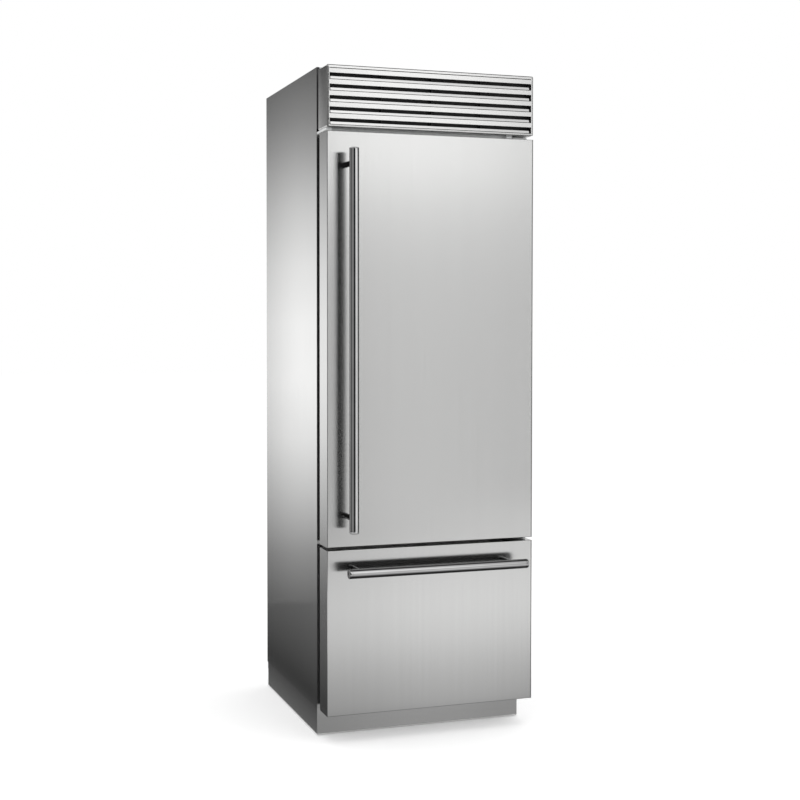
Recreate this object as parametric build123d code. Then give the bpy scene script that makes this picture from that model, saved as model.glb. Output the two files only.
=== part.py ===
"""Tall stainless-steel refrigerator: louvred machine bay, hinged fridge door and freezer drawer.

Millimetres, +Z up, +Y to the back, +X to the right of someone facing the front.
The origin lies on the floor, under the middle of the whole outline.
"""
from build123d import *
import math
import os

# Overall sizes
width = 696.0
cabinet_depth = 635.0
seal_gap = 32.0
door_thickness = 81.0
plinth_height = 88.0
drawer_plinth_gap = 3.0
drawer_height = 518.0
door_drawer_gap = 10.0
door_height = 1288.0
grille_gap = 12.0
grille_height = 191.5
grille_drop = 9.5

# Tubular handles
handle_diameter = 30.0
handle_wall = 2.0
handle_standoff = 67.5
handle_cap_length = 10.0
handle_cap_spigot = 14.0
handle_post_diameter = 18.0
handle_post_inset = 45.0
handle_saddle_gap = 0.05
door_handle_length = 1180.0
door_handle_inset = 65.8
door_handle_drop = 3.0
drawer_handle_length = 603.0
drawer_handle_drop = 62.3

# Sheets, walls and insulation
panel_sheet = 1.5
skin_sheet = 1.5
skin_bend_radius = 2.0
skin_lip = 12.0
base_sheet = 3.0
base_lip = 25.0
liner_wall = 2.5
side_wall = 48.0
back_wall = 60.0
floor_wall = 60.0
ceiling_wall = 55.0
mullion_height = 70.0
deck_rail_rise = 16.0

# Fits and clearances
running_clearance = 0.05
seat_clearance = 0.2
slide_clearance = 0.4
plinth_floor_gap = 2.0
plinth_back_gap = 12.0

# Base: stiffening ribs, feet and rollers
rib_sheet = 3.0
rib_height = 40.0
rib_side_gap = 125.0
foot_side_gap = 60.0
foot_front_gap = 70.0
foot_pad_radius = 24.0
foot_pad_height = 12.0
foot_stem_radius = 6.0
foot_boss_radius = 14.0
foot_boss_height = 30.0
roller_side_gap = 70.0
roller_back_gap = 80.0
roller_radius = 26.0
roller_width = 24.0
roller_axle_radius = 5.0
roller_bracket_sheet = 3.0
roller_bracket_length = 44.0
roller_side_clearance = 0.5
axle_cover = 8.0

# Machine bay
deck_door_gap = 3.0
tray_sheet = 1.5
tray_lip = 15.0
tray_side_gap = 4.0
tray_front_gap = 75.0
tray_back_gap = 6.0
compressor_radius = 62.0
compressor_height = 130.0
compressor_crown = 26.0
compressor_side_gap = 160.0
compressor_back_gap = 190.0
compressor_plate = 5.0
compressor_plate_length = 170.0
compressor_plate_width = 110.0
mount_radius = 11.0
mount_height = 14.0
mount_inset = 16.0
condenser_left = 25.0
condenser_side_gap = 6.0
condenser_front_gap = 100.0
condenser_depth = 50.0
condenser_height = 160.0
condenser_fin = 1.0
condenser_fin_pitch = 14.0
condenser_tube_radius = 4.0
condenser_tube_rows = 4
condenser_tube_ranks = 2
condenser_tube_reach = 8.0
shroud_gap = 20.0
shroud_sheet = 3.0
shroud_ring = 4.0
shroud_spoke = 8.0
shroud_spokes = 3
condenser_fan_radius = 66.0
condenser_fan_depth = 22.0
fan_tip_gap = 4.0
condenser_motor_radius = 28.0
condenser_motor_length = 34.0
motor_gap = 3.0
pipe_radius = 4.0
pipe_bend = 14.0
pipe_suction_height = 60.0
pipe_run_gap = 60.0
pipe_drop_gap = 50.0
control_box_left_gap = 20.0
control_box_length = 230.0
control_box_front_gap = 100.0
control_box_depth = 150.0
control_box_height = 90.0
control_box_edge = 4.0

# Top cover: vents, pivot ears of the grille, wall anchor holes
vent_length = 180.0
vent_width = 8.0
vent_pitch = 22.0
vent_count = 6
vent_back_gap = 140.0
ear_sheet = 4.0
ear_height = 22.0
ear_length = 70.0
anchor_hole_radius = 3.3
anchor_spacing = 400.0
anchor_back_gap = 30.0

# Back panel: mains inlet
inlet_width = 50.0
inlet_height = 30.0
inlet_depth = 22.0
inlet_side_gap = 120.0
inlet_rise = 70.0
inlet_blade_width = 6.0
inlet_blade_thickness = 2.0
inlet_blade_length = 14.0
inlet_blade_pitch = 12.0

# Air ducts, evaporators and their fans
duct_depth = 48.0
duct_sheet = 2.0
duct_margin = 5.0
duct_vent_width = 150.0
duct_vent_height = 8.0
duct_vent_pitch = 20.0
duct_vent_count = 4
duct_vent_drop = 60.0
duct_fan_slots = 5
duct_fan_slot_pitch = 16.0
evaporator_length = 380.0
evaporator_depth = 34.0
evaporator_height = 130.0
evaporator_rise = 40.0
evaporator_fin = 1.0
evaporator_fin_pitch = 16.0
evaporator_tube_radius = 4.0
evaporator_tube_rows = 3
evaporator_tube_reach = 8.0
evaporator_fan_gap = 75.0
evaporator_fan_radius = 48.0
evaporator_fan_depth = 18.0
evaporator_motor_radius = 24.0
evaporator_motor_length = 15.0
fan_hub_radius = 14.0
fan_blade = 2.0
fan_blade_angle = 35.0
fan_blades = 6
fan_shaft_radius = 2.5

# Fridge compartment
shelf_count = 3
shelf_glass = 5.0
shelf_front_gap = 150.0
shelf_side_gap = 3.0
shelf_back_gap = 6.0
shelf_trim_depth = 10.0
shelf_trim_height = 14.0
rail_width = 13.0
rail_height = 12.0
rail_front_gap = 20.0
crisper_wall = 3.0
crisper_height = 190.0
crisper_lift = 6.0
crisper_front_gap = 125.0
crisper_back_gap = 30.0
crisper_side_gap = 18.0
crisper_lip = 4.0
crisper_lip_gap = 3.0
crisper_cover_gap = 3.0
crisper_grip_length = 180.0
crisper_grip_depth = 12.0
crisper_grip_height = 14.0
crisper_grip_drop = 40.0
slider_guide_length = 120.0
slider_guide_depth = 8.0
slider_guide_sheet = 3.0
slider_guide_left = 120.0
slider_guide_drop = 30.0
slider_length = 36.0
slider_height = 14.0
slider_thickness = 5.0
slider_knob_radius = 4.0
slider_knob_length = 5.0
light_width = 22.0
light_thickness = 3.0
light_front_gap = 62.0
light_end_gap = 70.0
control_panel_length = 320.0
control_panel_depth = 42.0
control_panel_height = 36.0
control_panel_front_gap = 42.0
control_panel_chamfer = 16.0

# Hinges of the fridge door
hinge_inset = 15.0
hinge_reach = 73.0
hinge_pin_radius = 6.0
hinge_pin_length = 22.0
hinge_bush_wall = 5.0
hinge_bush_length = 26.0
hinge_plate = 6.0
hinge_plate_length = 60.0
hinge_plate_nose = 10.0
hinge_nose_radius = 12.0
hinge_anchor = 50.0
mullion_plate = 5.0

# Doors' inner sides
liner_margin = 6.0
liner_plate = 14.0
plug_reach = 22.0
plug_gap = 14.0
dyke_wall = 12.0
gasket_margin = 16.0
gasket_width = 20.0
gasket_gap = 0.5
bin_count = 3
bin_wall = 2.5
bin_height = 105.0
bin_reach = 105.0
bin_side_gap = 0.5
bin_first_rise = 30.0

# Freezer drawer
slide_gauge = 1.5
slide_height = 44.0
slide_depth = 13.0
slide_flange_step = 2.0
slide_rise = 150.0
slide_front_gap = 26.0
slide_back_gap = 6.0
slide_shelf = 3.0
basket_wall = 3.0
basket_lift = 14.0
basket_ceiling_gap = 50.0
basket_side_gap = 30.0
basket_front_gap = 2.0
basket_back_gap = 12.0
basket_ledge = 6.0
freezer_tray_length = 220.0
freezer_tray_height = 90.0
freezer_tray_wall = 3.0
freezer_tray_side_gap = 2.0
freezer_tray_front_gap = 2.0
freezer_tray_rise = 12.0

# Louvred grille
grille_sheet = 2.0
grille_top_depth = 60.0
grille_back_gap = 20.5
grille_stile = 8.0
grille_top_rail = 25.3
grille_top_line = 9.4
grille_line = 2.4
louvre_count = 5
louvre_pitch = 34.7
louvre_window = 20.8
louvre_sheet = 1.5
louvre_lip_height = 7.6
louvre_lip_lean = 2.2
louvre_rise = 9.7
louvre_depth = 14.0
louvre_face_gap = 1.0
louvre_end_gap = 4.0
louvre_ribs = 3
louvre_rib_depth = 8.0
grille_pivot_drop = 16.0
grille_pivot_back = 12.0
grille_pivot_radius = 4.0
grille_boss_radius = 9.0
grille_boss_length = 8.0

# Places along the depth, from the handle's front to the back
total_depth = cabinet_depth + seal_gap + door_thickness + handle_standoff + handle_diameter / 2
door_front = handle_standoff + handle_diameter / 2 - total_depth / 2
door_back = door_front + door_thickness
cabinet_front = door_back + seal_gap
cabinet_back = cabinet_front + cabinet_depth
cavity_back = cabinet_back - back_wall
duct_front = cavity_back - duct_depth

# Places across
half_width = width / 2
inner_half = half_width - panel_sheet
cavity_half = half_width - side_wall

# Levels, from the floor up
drawer_bottom = plinth_height + drawer_plinth_gap
drawer_top = drawer_bottom + drawer_height
door_bottom = drawer_top + door_drawer_gap
door_top = door_bottom + door_height
grille_bottom = door_top + grille_gap
grille_top = grille_bottom + grille_height
cabinet_top = grille_top + grille_drop
mullion_middle = drawer_top + door_drawer_gap / 2
freezer_floor = plinth_height + floor_wall
freezer_ceiling = mullion_middle - mullion_height / 2
fridge_floor = mullion_middle + mullion_height / 2
machine_deck = door_top + deck_door_gap
fridge_ceiling = machine_deck - ceiling_wall
bay_floor = machine_deck + tray_sheet

# Hinge axis of the fridge door
pivot_x = half_width - hinge_inset
pivot_y = cabinet_front - hinge_reach


def block(x, y, z):
    """Box between two limits along each axis."""
    middle = Pos(sum(x) / 2, sum(y) / 2, sum(z) / 2)
    return middle * Box(abs(x[1] - x[0]), abs(y[1] - y[0]), abs(z[1] - z[0]))


def hollow(x, y, z, wall, opening):
    """Box with walls of one thickness, open to the front, back, top or bottom."""
    inner_x = (x[0] + wall, x[1] - wall)
    inner_y = (y[0] + wall * (opening != "front"), y[1] - wall * (opening != "back"))
    inner_z = (z[0] + wall * (opening != "bottom"), z[1] - wall * (opening != "top"))
    return block(x, y, z) - block(inner_x, inner_y, inner_z)


def ring(x, y, z, wall):
    """Frame of one wall width, open along Y."""
    inner_x = (x[0] + wall, x[1] - wall)
    inner_z = (z[0] + wall, z[1] - wall)
    return block(x, y, z) - block(inner_x, y, inner_z)


def rod(radius, start, end):
    """Cylinder between two points."""
    axis = Vector(*end) - Vector(*start)
    seat = Plane(origin=start, z_dir=axis)
    return seat * Cylinder(radius, axis.length, align=(Align.CENTER, Align.CENTER, Align.MIN))


def both_sides(make):
    """The same piece on the left and the right, as two separate solids."""
    return [make(side) for side in (-1, 1)]


def even(start, stop, count):
    """Evenly spaced places between two limits, without the limits."""
    return [start + (stop - start) * (k + 1) / (count + 1) for k in range(count)]


# Cabinet shell
def side_panel(side):
    """Plain steel side sheet, down to the plinth."""
    x = (side * inner_half, side * half_width)
    return block(x, (cabinet_front, cabinet_back), (plinth_height, cabinet_top))


def mains_inlet():
    """Recessed inlet cup with three blades, its walls and its mouth, in the back panel."""
    middle_x = half_width - inlet_side_gap
    middle_z = machine_deck + inlet_rise
    x = (middle_x - inlet_width / 2, middle_x + inlet_width / 2)
    z = (middle_z - inlet_height / 2, middle_z + inlet_height / 2)
    y = (cabinet_back - inlet_depth, cabinet_back)
    cup = hollow(x, y, z, panel_sheet, "back")
    blade_y = (y[0] + panel_sheet, y[0] + panel_sheet + inlet_blade_length)
    for step in (-1, 0, 1):
        blade_x = middle_x + step * inlet_blade_pitch
        blade_span = (blade_x - inlet_blade_thickness / 2, blade_x + inlet_blade_thickness / 2)
        blade_z = (middle_z - inlet_blade_width / 2, middle_z + inlet_blade_width / 2)
        cup += block(blade_span, blade_y, blade_z)
    mouth = block(x, (cabinet_back - panel_sheet, cabinet_back), z)
    return cup, mouth


def back_panel():
    """Back sheet between the side panels, with the mains inlet."""
    y = (cabinet_back - panel_sheet, cabinet_back)
    sheet = block((-inner_half, inner_half), y, (plinth_height, cabinet_top - panel_sheet))
    cup, mouth = mains_inlet()
    return sheet - mouth + cup


def grille_pivot():
    """Pivot line of the grille, as its Y and Z."""
    pivot_line_y = cabinet_front - grille_back_gap - grille_pivot_back
    return pivot_line_y, grille_top - grille_sheet - grille_pivot_drop


def grille_ear(side):
    """Ear that reaches forward from the top cover, with the pin that carries the grille."""
    line_y, line_z = grille_pivot()
    boss_end = half_width - grille_sheet - grille_boss_length
    outer = boss_end - slide_clearance
    x = (side * (outer - ear_sheet), side * outer)
    y = (line_y - grille_boss_radius, line_y - grille_boss_radius + ear_length)
    blade = block(x, y, (line_z - ear_height / 2, line_z + ear_height / 2))
    strap_y = (cabinet_front, y[1])
    strap = block(x, strap_y, (line_z, cabinet_top))
    tip = half_width - grille_sheet - slide_clearance
    pin = rod(grille_pivot_radius, (side * outer, line_y, line_z), (side * tip, line_y, line_z))
    return blade + strap + pin


def top_cover():
    """Top sheet with vents, wall anchor holes and the grille's pivot ears."""
    top = (cabinet_top - panel_sheet, cabinet_top)
    cover = block((-inner_half, inner_half), (cabinet_front, cabinet_back), top)
    for k in range(vent_count):
        middle = cabinet_back - vent_back_gap - k * vent_pitch
        y = (middle - vent_width / 2, middle + vent_width / 2)
        for side in (-1, 1):
            middle_x = side * inner_half / 2
            cover -= block((middle_x - vent_length / 2, middle_x + vent_length / 2), y, top)
    for side in (-1, 1):
        place = (side * anchor_spacing / 2, cabinet_back - anchor_back_gap)
        cover -= rod(anchor_hole_radius, (*place, top[0]), (*place, top[1]))
        cover += grille_ear(side)
    return cover


def compartment(floor, ceiling):
    """Outer limits of a compartment's liner along each axis."""
    x = (-cavity_half - liner_wall, cavity_half + liner_wall)
    y = (cabinet_front + panel_sheet, cavity_back + liner_wall)
    return x, y, (floor - liner_wall, ceiling + liner_wall)


def liner(floor, ceiling):
    """Compartment liner, open to the front."""
    return hollow(*compartment(floor, ceiling), liner_wall, "front")


def insulation_foam():
    """Foam between the steel shell and both liners."""
    y = (cabinet_front + panel_sheet, cabinet_back - panel_sheet)
    foam = block((-inner_half, inner_half), y, (plinth_height + base_sheet, machine_deck))
    foam -= block(*compartment(freezer_floor, freezer_ceiling))
    foam -= block(*compartment(fridge_floor, fridge_ceiling))
    return foam - mullion_pocket()


def face_frame():
    """Steel front of the cabinet: two compartment mouths, the mullion and a rail above the deck."""
    y = (cabinet_front, cabinet_front + panel_sheet)
    mouth_x = (-cavity_half, cavity_half)
    frame = block((-inner_half, inner_half), y, (plinth_height, machine_deck + deck_rail_rise))
    frame -= block(mouth_x, y, (freezer_floor, freezer_ceiling))
    frame -= block(mouth_x, y, (fridge_floor, fridge_ceiling))
    return frame - mullion_pocket() - deck_notch()


# Base
def foot_place(side):
    """Where a levelling foot stands, as X and Y."""
    return side * (half_width - foot_side_gap), cabinet_front + foot_front_gap


def base_frame():
    """Steel pan under the cabinet, with stiffening ribs and the bosses of the levelling feet."""
    y = (cabinet_front + panel_sheet, cabinet_back - panel_sheet)
    z = (plinth_height - base_lip, plinth_height + base_sheet)
    pan = hollow((-inner_half, inner_half), y, z, base_sheet, "bottom")
    for side in (-1, 1):
        rib_x = side * (half_width - rib_side_gap)
        rib = (rib_x - rib_sheet / 2, rib_x + rib_sheet / 2)
        pan += block(rib, (y[0] + base_sheet, y[1] - base_sheet), (plinth_height - rib_height, plinth_height))
        place = foot_place(side)
        boss_bottom = plinth_height - foot_boss_height
        pan += rod(foot_boss_radius, (*place, boss_bottom), (*place, plinth_height))
        bore = foot_stem_radius + running_clearance
        pan -= rod(bore, (*place, boss_bottom), (*place, plinth_height))
    return pan


def plinth():
    """Steel kick plate round the front and both sides."""
    z = (plinth_floor_gap, plinth_height)
    y = (cabinet_front, cabinet_back - plinth_back_gap)
    front = block((-half_width, half_width), (cabinet_front, cabinet_front + panel_sheet), z)
    for side in (-1, 1):
        front += block((side * inner_half, side * half_width), y, z)
    return front


def levelling_foot(side):
    """Round pad with its threaded stem, which ends inside the boss."""
    place = foot_place(side)
    pad = rod(foot_pad_radius, (*place, 0), (*place, foot_pad_height))
    return pad + rod(foot_stem_radius, (*place, foot_pad_height), (*place, plinth_height - seat_clearance))


def roller_place(side):
    """Middle of a rear roller."""
    return side * (half_width - roller_side_gap), cabinet_back - roller_back_gap, roller_radius


def roller_bracket(side):
    """Fork that carries a rear roller under the base."""
    x, y, z = roller_place(side)
    half_gap = roller_width / 2 + roller_side_clearance
    outer = half_gap + roller_bracket_sheet
    length = (y - roller_bracket_length / 2, y + roller_bracket_length / 2)
    fork = block((x - outer, x + outer), length, (z - axle_cover, plinth_height))
    crown = plinth_height - roller_bracket_sheet
    fork -= block((x - half_gap, x + half_gap), length, (z - axle_cover, crown))
    bore = roller_axle_radius + running_clearance
    return fork - rod(bore, (x - outer, y, z), (x + outer, y, z))


def roller_axle(side):
    """Pin through the fork and the roller."""
    x, y, z = roller_place(side)
    reach = roller_width / 2 + roller_side_clearance + roller_bracket_sheet
    return rod(roller_axle_radius, (x - reach, y, z), (x + reach, y, z))


def roller(side):
    """Rear roller."""
    x, y, z = roller_place(side)
    reach = roller_width / 2
    wheel = rod(roller_radius, (x - reach, y, z), (x + reach, y, z))
    return wheel - rod(roller_axle_radius + running_clearance, (x - reach, y, z), (x + reach, y, z))


# Machine bay
def compressor_tray():
    """Sheet tray on the deck above the fridge compartment."""
    reach = inner_half - tray_side_gap
    y = (cabinet_front + tray_front_gap, cabinet_back - panel_sheet - tray_back_gap)
    return hollow((-reach, reach), y, (machine_deck, machine_deck + tray_lip), tray_sheet, "top")


def compressor_place():
    """Middle of the compressor, as X and Y."""
    return compressor_side_gap - half_width, cabinet_back - compressor_back_gap


def mount_places():
    """Middles of the four rubber mounts."""
    x, y = compressor_place()
    reach_x = compressor_plate_length / 2 - mount_inset
    reach_y = compressor_plate_width / 2 - mount_inset
    return [(x + a * reach_x, y + b * reach_y) for a in (-1, 1) for b in (-1, 1)]


def compressor():
    """Sealed compressor pot on its foot plate, and the four rubber mounts below it."""
    x, y = compressor_place()
    plate_bottom = bay_floor + mount_height
    plate_top = plate_bottom + compressor_plate
    plate = Pos(x, y, plate_bottom + compressor_plate / 2)
    foot = plate * Box(compressor_plate_length, compressor_plate_width, compressor_plate)
    pot = rod(compressor_radius, (x, y, plate_top), (x, y, plate_top + compressor_height))
    pot = fillet(pot.edges().sort_by(Axis.Z)[-1], compressor_crown)
    mounts = [rod(mount_radius, (*place, bay_floor), (*place, plate_bottom)) for place in mount_places()]
    return [foot + pot, *mounts]


def return_bend(radius, end, side, low, high):
    """Half-round bend that joins two tubes of a coil at one end."""
    x, y = end
    middle = (x + side * (high - low) / 2, y, (low + high) / 2)
    path = ThreePointArc((x, y, low), middle, (x, y, high))
    section = Plane(origin=(x, y, low), z_dir=(side, 0, 0)) * Circle(radius)
    return sweep(section, path=path)


def coil(x, y, z, fin, pitch, radius, rows, ranks, reach):
    """Finned coil: upright fins on tubes along X, joined by bends into one serpentine for each rank."""
    count = int((x[1] - x[0] - fin) // pitch) + 1
    first = sum(x) / 2 - (count - 1) * pitch / 2
    places = [first + k * pitch for k in range(count)]
    pieces = [block((place - fin / 2, place + fin / 2), y, z) for place in places]
    ends = (x[0] - reach, x[1] + reach)
    levels = even(*z, rows)
    for line in even(*y, ranks):
        pieces += [rod(radius, (ends[0], line, level), (ends[1], line, level)) for level in levels]
        for k in range(rows - 1):
            right = k % 2 == 0
            end = (ends[1] if right else ends[0], line)
            pieces.append(return_bend(radius, end, 1 if right else -1, levels[k], levels[k + 1]))
    return Part() + pieces


def condenser_span():
    """Limits of the condenser's fins along each axis."""
    front = cabinet_front + condenser_front_gap
    bend = condenser_height / (condenser_tube_rows + 1) / 2 + condenser_tube_radius
    x = (condenser_left, inner_half - condenser_side_gap - condenser_tube_reach - bend)
    return x, (front, front + condenser_depth), (bay_floor, bay_floor + condenser_height)


def condenser():
    """Condenser behind the grille, standing on the tray."""
    x, y, z = condenser_span()
    return coil(x, y, z, condenser_fin, condenser_fin_pitch, condenser_tube_radius,
                condenser_tube_rows, condenser_tube_ranks, condenser_tube_reach)


def condenser_fan_place():
    """Middle of the condenser fan's back opening: X, front of the shroud, Z."""
    x, y, z = condenser_span()
    return sum(x) / 2, y[1] + shroud_gap, sum(z) / 2


def condenser_motor_front():
    """Front face of the condenser fan's motor."""
    return condenser_fan_place()[1] + shroud_sheet + condenser_fan_depth + motor_gap


def condenser_fan_shroud():
    """Plate behind the condenser with the fan's collar, and spokes that hold the motor."""
    x, y, z = condenser_fan_place()
    span_x, span_y, span_z = condenser_span()
    motor_front = condenser_motor_front()
    collar_end = motor_front + shroud_spoke
    opening = condenser_fan_radius + fan_tip_gap
    shroud = block(span_x, (y, y + shroud_sheet), span_z)
    shroud += rod(opening + shroud_ring, (x, y, z), (x, collar_end, z))
    shroud -= rod(opening, (x, y, z), (x, collar_end, z))
    seat = condenser_motor_radius + seat_clearance
    holder = rod(seat + shroud_ring, (x, motor_front, z), (x, collar_end, z))
    arm_z = (-shroud_spoke / 2, shroud_spoke / 2)
    arm = block((0, opening + shroud_ring / 2), (motor_front, collar_end), arm_z)
    for k in range(shroud_spokes):
        holder += Pos(x, 0, z) * Rot(0, k * 360 / shroud_spokes, 0) * arm
    return shroud + (holder - rod(seat, (x, motor_front, z), (x, collar_end, z)))


def fan_motor(x, front, z, radius, length, shaft):
    """Round motor with its shaft to the front."""
    body = rod(radius, (x, front, z), (x, front + length, z))
    return body + rod(fan_shaft_radius, (x, front - shaft, z), (x, front, z))


def fan_rotor(x, front, z, radius, depth):
    """Axial rotor about Y: pitched blades on a bored hub."""
    tilt = math.radians(fan_blade_angle)
    chord = (depth - 2 * fan_blade) / math.sin(tilt)
    middle = Pos(0, 0, depth / 2)
    rotor = middle * Cylinder(fan_hub_radius, depth)
    blade = Pos(radius / 2, 0, 0) * Rot(fan_blade_angle, 0, 0) * Box(radius, chord, fan_blade)
    for k in range(fan_blades):
        rotor += Rot(0, 0, k * 360 / fan_blades) * middle * blade
    rotor &= middle * Cylinder(radius, depth)
    rotor -= middle * Cylinder(fan_shaft_radius + running_clearance, depth)
    return Pos(x, front, z) * Rot(-90, 0, 0) * rotor


def condenser_motor():
    """Motor of the condenser fan."""
    x, y, z = condenser_fan_place()
    shaft = motor_gap + condenser_fan_depth
    return fan_motor(x, condenser_motor_front(), z, condenser_motor_radius, condenser_motor_length, shaft)


def condenser_fan_rotor():
    """Rotor inside the shroud's collar."""
    x, y, z = condenser_fan_place()
    return fan_rotor(x, y + shroud_sheet, z, condenser_fan_radius, condenser_fan_depth)


def pipe(points, bends):
    """Tube along straight runs with round bends."""
    path = FilletPolyline(*points, radius=bends)
    start = Plane(origin=points[0], z_dir=Vector(*points[1]) - Vector(*points[0]))
    return sweep(start * Circle(pipe_radius), path=path)


def refrigerant_pipes():
    """Discharge pipe from the compressor to the condenser, and suction pipe up from the deck."""
    x, y = compressor_place()
    coil_x, coil_y, coil_z = condenser_span()
    level = even(*coil_z, condenser_tube_rows)[0]
    inlet_y = even(*coil_y, condenser_tube_ranks)[-1]
    inlet_x = coil_x[0] - condenser_tube_reach - seat_clearance
    run_x = coil_x[0] - pipe_run_gap
    outlet = compressor_radius + seat_clearance
    discharge = [(x + outlet, y, level), (run_x, y, level), (run_x, inlet_y, level),
                 (inlet_x, inlet_y, level)]
    height = bay_floor + pipe_suction_height
    drop_y = y + outlet + pipe_drop_gap
    suction = [(x, y + outlet, height), (x, drop_y, height), (x, drop_y, bay_floor)]
    return [pipe(discharge, pipe_bend), pipe(suction, pipe_bend)]


def control_box():
    """Closed housing of the electronics, on the tray."""
    left = control_box_left_gap - inner_half
    front = cabinet_front + control_box_front_gap
    z = (bay_floor, bay_floor + control_box_height)
    housing = block((left, left + control_box_length), (front, front + control_box_depth), z)
    return fillet(housing.edges().filter_by(Axis.Z), control_box_edge)


# Air ducts and evaporators
def evaporator_top(floor):
    """Upper edge of the evaporator in a compartment."""
    return floor + duct_margin + evaporator_rise + evaporator_height


def evaporator(floor):
    """Finned coil on the compartment's back wall."""
    z = (evaporator_top(floor) - evaporator_height, evaporator_top(floor))
    x = (-evaporator_length / 2, evaporator_length / 2)
    return coil(x, (cavity_back - evaporator_depth, cavity_back), z, evaporator_fin, evaporator_fin_pitch,
                evaporator_tube_radius, evaporator_tube_rows, 1, evaporator_tube_reach)


def evaporator_fan_level(floor):
    """Height of the evaporator fan's axis."""
    return evaporator_top(floor) + evaporator_fan_gap


def evaporator_motor(floor):
    """Fan motor on the compartment's back wall."""
    shaft = motor_gap + evaporator_fan_depth
    front = cavity_back - evaporator_motor_length
    level = evaporator_fan_level(floor)
    return fan_motor(0, front, level, evaporator_motor_radius, evaporator_motor_length, shaft)


def evaporator_rotor(floor):
    """Rotor in front of the evaporator fan's motor."""
    front = cavity_back - evaporator_motor_length - motor_gap - evaporator_fan_depth
    return fan_rotor(0, front, evaporator_fan_level(floor), evaporator_fan_radius, evaporator_fan_depth)


def duct_panel(floor, ceiling):
    """Air duct on the compartment's back wall, with vents at the top and slots before the fan."""
    reach = cavity_half - duct_margin
    z = (floor + duct_margin, ceiling - duct_margin)
    panel = hollow((-reach, reach), (duct_front, cavity_back), z, duct_sheet, "back")
    sheet = (duct_front, duct_front + duct_sheet)
    first_vent = ceiling - duct_vent_drop
    slots = [(first_vent - k * duct_vent_pitch, duct_vent_width) for k in range(duct_vent_count)]
    for k in range(duct_fan_slots):
        rise = (k - (duct_fan_slots - 1) / 2) * duct_fan_slot_pitch
        chord = 2 * math.sqrt(evaporator_fan_radius ** 2 - rise ** 2)
        slots.append((evaporator_fan_level(floor) + rise, chord))
    for level, length in slots:
        slot_z = (level - duct_vent_height / 2, level + duct_vent_height / 2)
        panel -= block((-length / 2, length / 2), sheet, slot_z)
    return panel


# Fridge compartment
crisper_bottom = fridge_floor + crisper_lift
crisper_top = crisper_bottom + crisper_height
cover_level = crisper_top + crisper_cover_gap + max(rail_height, shelf_trim_height - shelf_glass)
shelf_levels = even(cover_level + shelf_glass, fridge_ceiling, shelf_count)
shelf_front = cabinet_front + shelf_front_gap
shelf_back = duct_front - shelf_back_gap
crisper_front = cabinet_front + crisper_front_gap
crisper_half = cavity_half - crisper_side_gap


def shelf_rail(side, level):
    """Ledge on a side wall of the liner; level is its upper face."""
    x = (side * (cavity_half - rail_width), side * cavity_half)
    return block(x, (shelf_front + rail_front_gap, shelf_back), (level - rail_height, level))


def shelf_rails():
    """Ledges under the shelves, the crisper's cover and the crisper's lips."""
    lip_level = crisper_top - crisper_lip - slide_clearance
    levels = [lip_level, cover_level, *shelf_levels]
    return [shelf_rail(side, level) for level in levels for side in (-1, 1)]


def shelf(level):
    """Glass plate on its two ledges."""
    reach = cavity_half - shelf_side_gap
    return block((-reach, reach), (shelf_front, shelf_back), (level, level + shelf_glass))


def shelf_trim(level):
    """Steel strip along the glass's front edge."""
    reach = cavity_half - shelf_side_gap
    top = level + shelf_glass
    y = (shelf_front - shelf_trim_depth, shelf_front)
    return block((-reach, reach), y, (top - shelf_trim_height, top))


def slider_track():
    """Inner limits of the humidity slider's guides, along X and Z."""
    top = crisper_top - slider_guide_drop
    x = (slider_guide_left, slider_guide_left + slider_guide_length)
    return x, (top - slider_height - 2 * slide_clearance, top)


def crisper_drawer():
    """Vegetable drawer with side lips, a front grip and the guides of its humidity slider."""
    y = (crisper_front, duct_front - crisper_back_gap)
    drawer = hollow((-crisper_half, crisper_half), y, (crisper_bottom, crisper_top), crisper_wall, "top")
    lip_reach = cavity_half - crisper_lip_gap
    for side in (-1, 1):
        drawer += block((side * crisper_half, side * lip_reach), y, (crisper_top - crisper_lip, crisper_top))
    grip_top = crisper_top - crisper_grip_drop
    grip_x = (-crisper_grip_length / 2, crisper_grip_length / 2)
    grip_y = (crisper_front - crisper_grip_depth, crisper_front)
    drawer += block(grip_x, grip_y, (grip_top - crisper_grip_height, grip_top))
    track_x, track_z = slider_track()
    guide_y = (crisper_front - slider_guide_depth, crisper_front)
    drawer += block(track_x, guide_y, (track_z[0] - slider_guide_sheet, track_z[0]))
    drawer += block(track_x, guide_y, (track_z[1], track_z[1] + slider_guide_sheet))
    return drawer


def humidity_slider():
    """Small slide with a round knob, between its guides at their left end."""
    x, z = slider_track()
    back = crisper_front - slide_clearance
    face = back - slider_thickness
    plate_z = (z[0] + slide_clearance, z[1] - slide_clearance)
    plate = block((x[0], x[0] + slider_length), (face, back), plate_z)
    knob_x = x[0] + slider_length / 2
    knob_z = sum(z) / 2
    tip = face - slider_knob_length
    return plate + rod(slider_knob_radius, (knob_x, face, knob_z), (knob_x, tip, knob_z))


def light_strip(side):
    """Upright light strip on a side wall."""
    y = (cabinet_front + light_front_gap, cabinet_front + light_front_gap + light_width)
    z = (cover_level + light_end_gap, fridge_ceiling - light_end_gap)
    return block((side * (cavity_half - light_thickness), side * cavity_half), y, z)


def control_panel():
    """Fascia with the display, under the compartment's ceiling."""
    front = cabinet_front + control_panel_front_gap
    x = (-control_panel_length / 2, control_panel_length / 2)
    z = (fridge_ceiling - control_panel_height, fridge_ceiling)
    fascia = block(x, (front, front + control_panel_depth), z)
    lower_front = fascia.edges().filter_by(Axis.X).sort_by(lambda edge: edge.center().Y + edge.center().Z)[0]
    return chamfer(lower_front, control_panel_chamfer)


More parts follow.
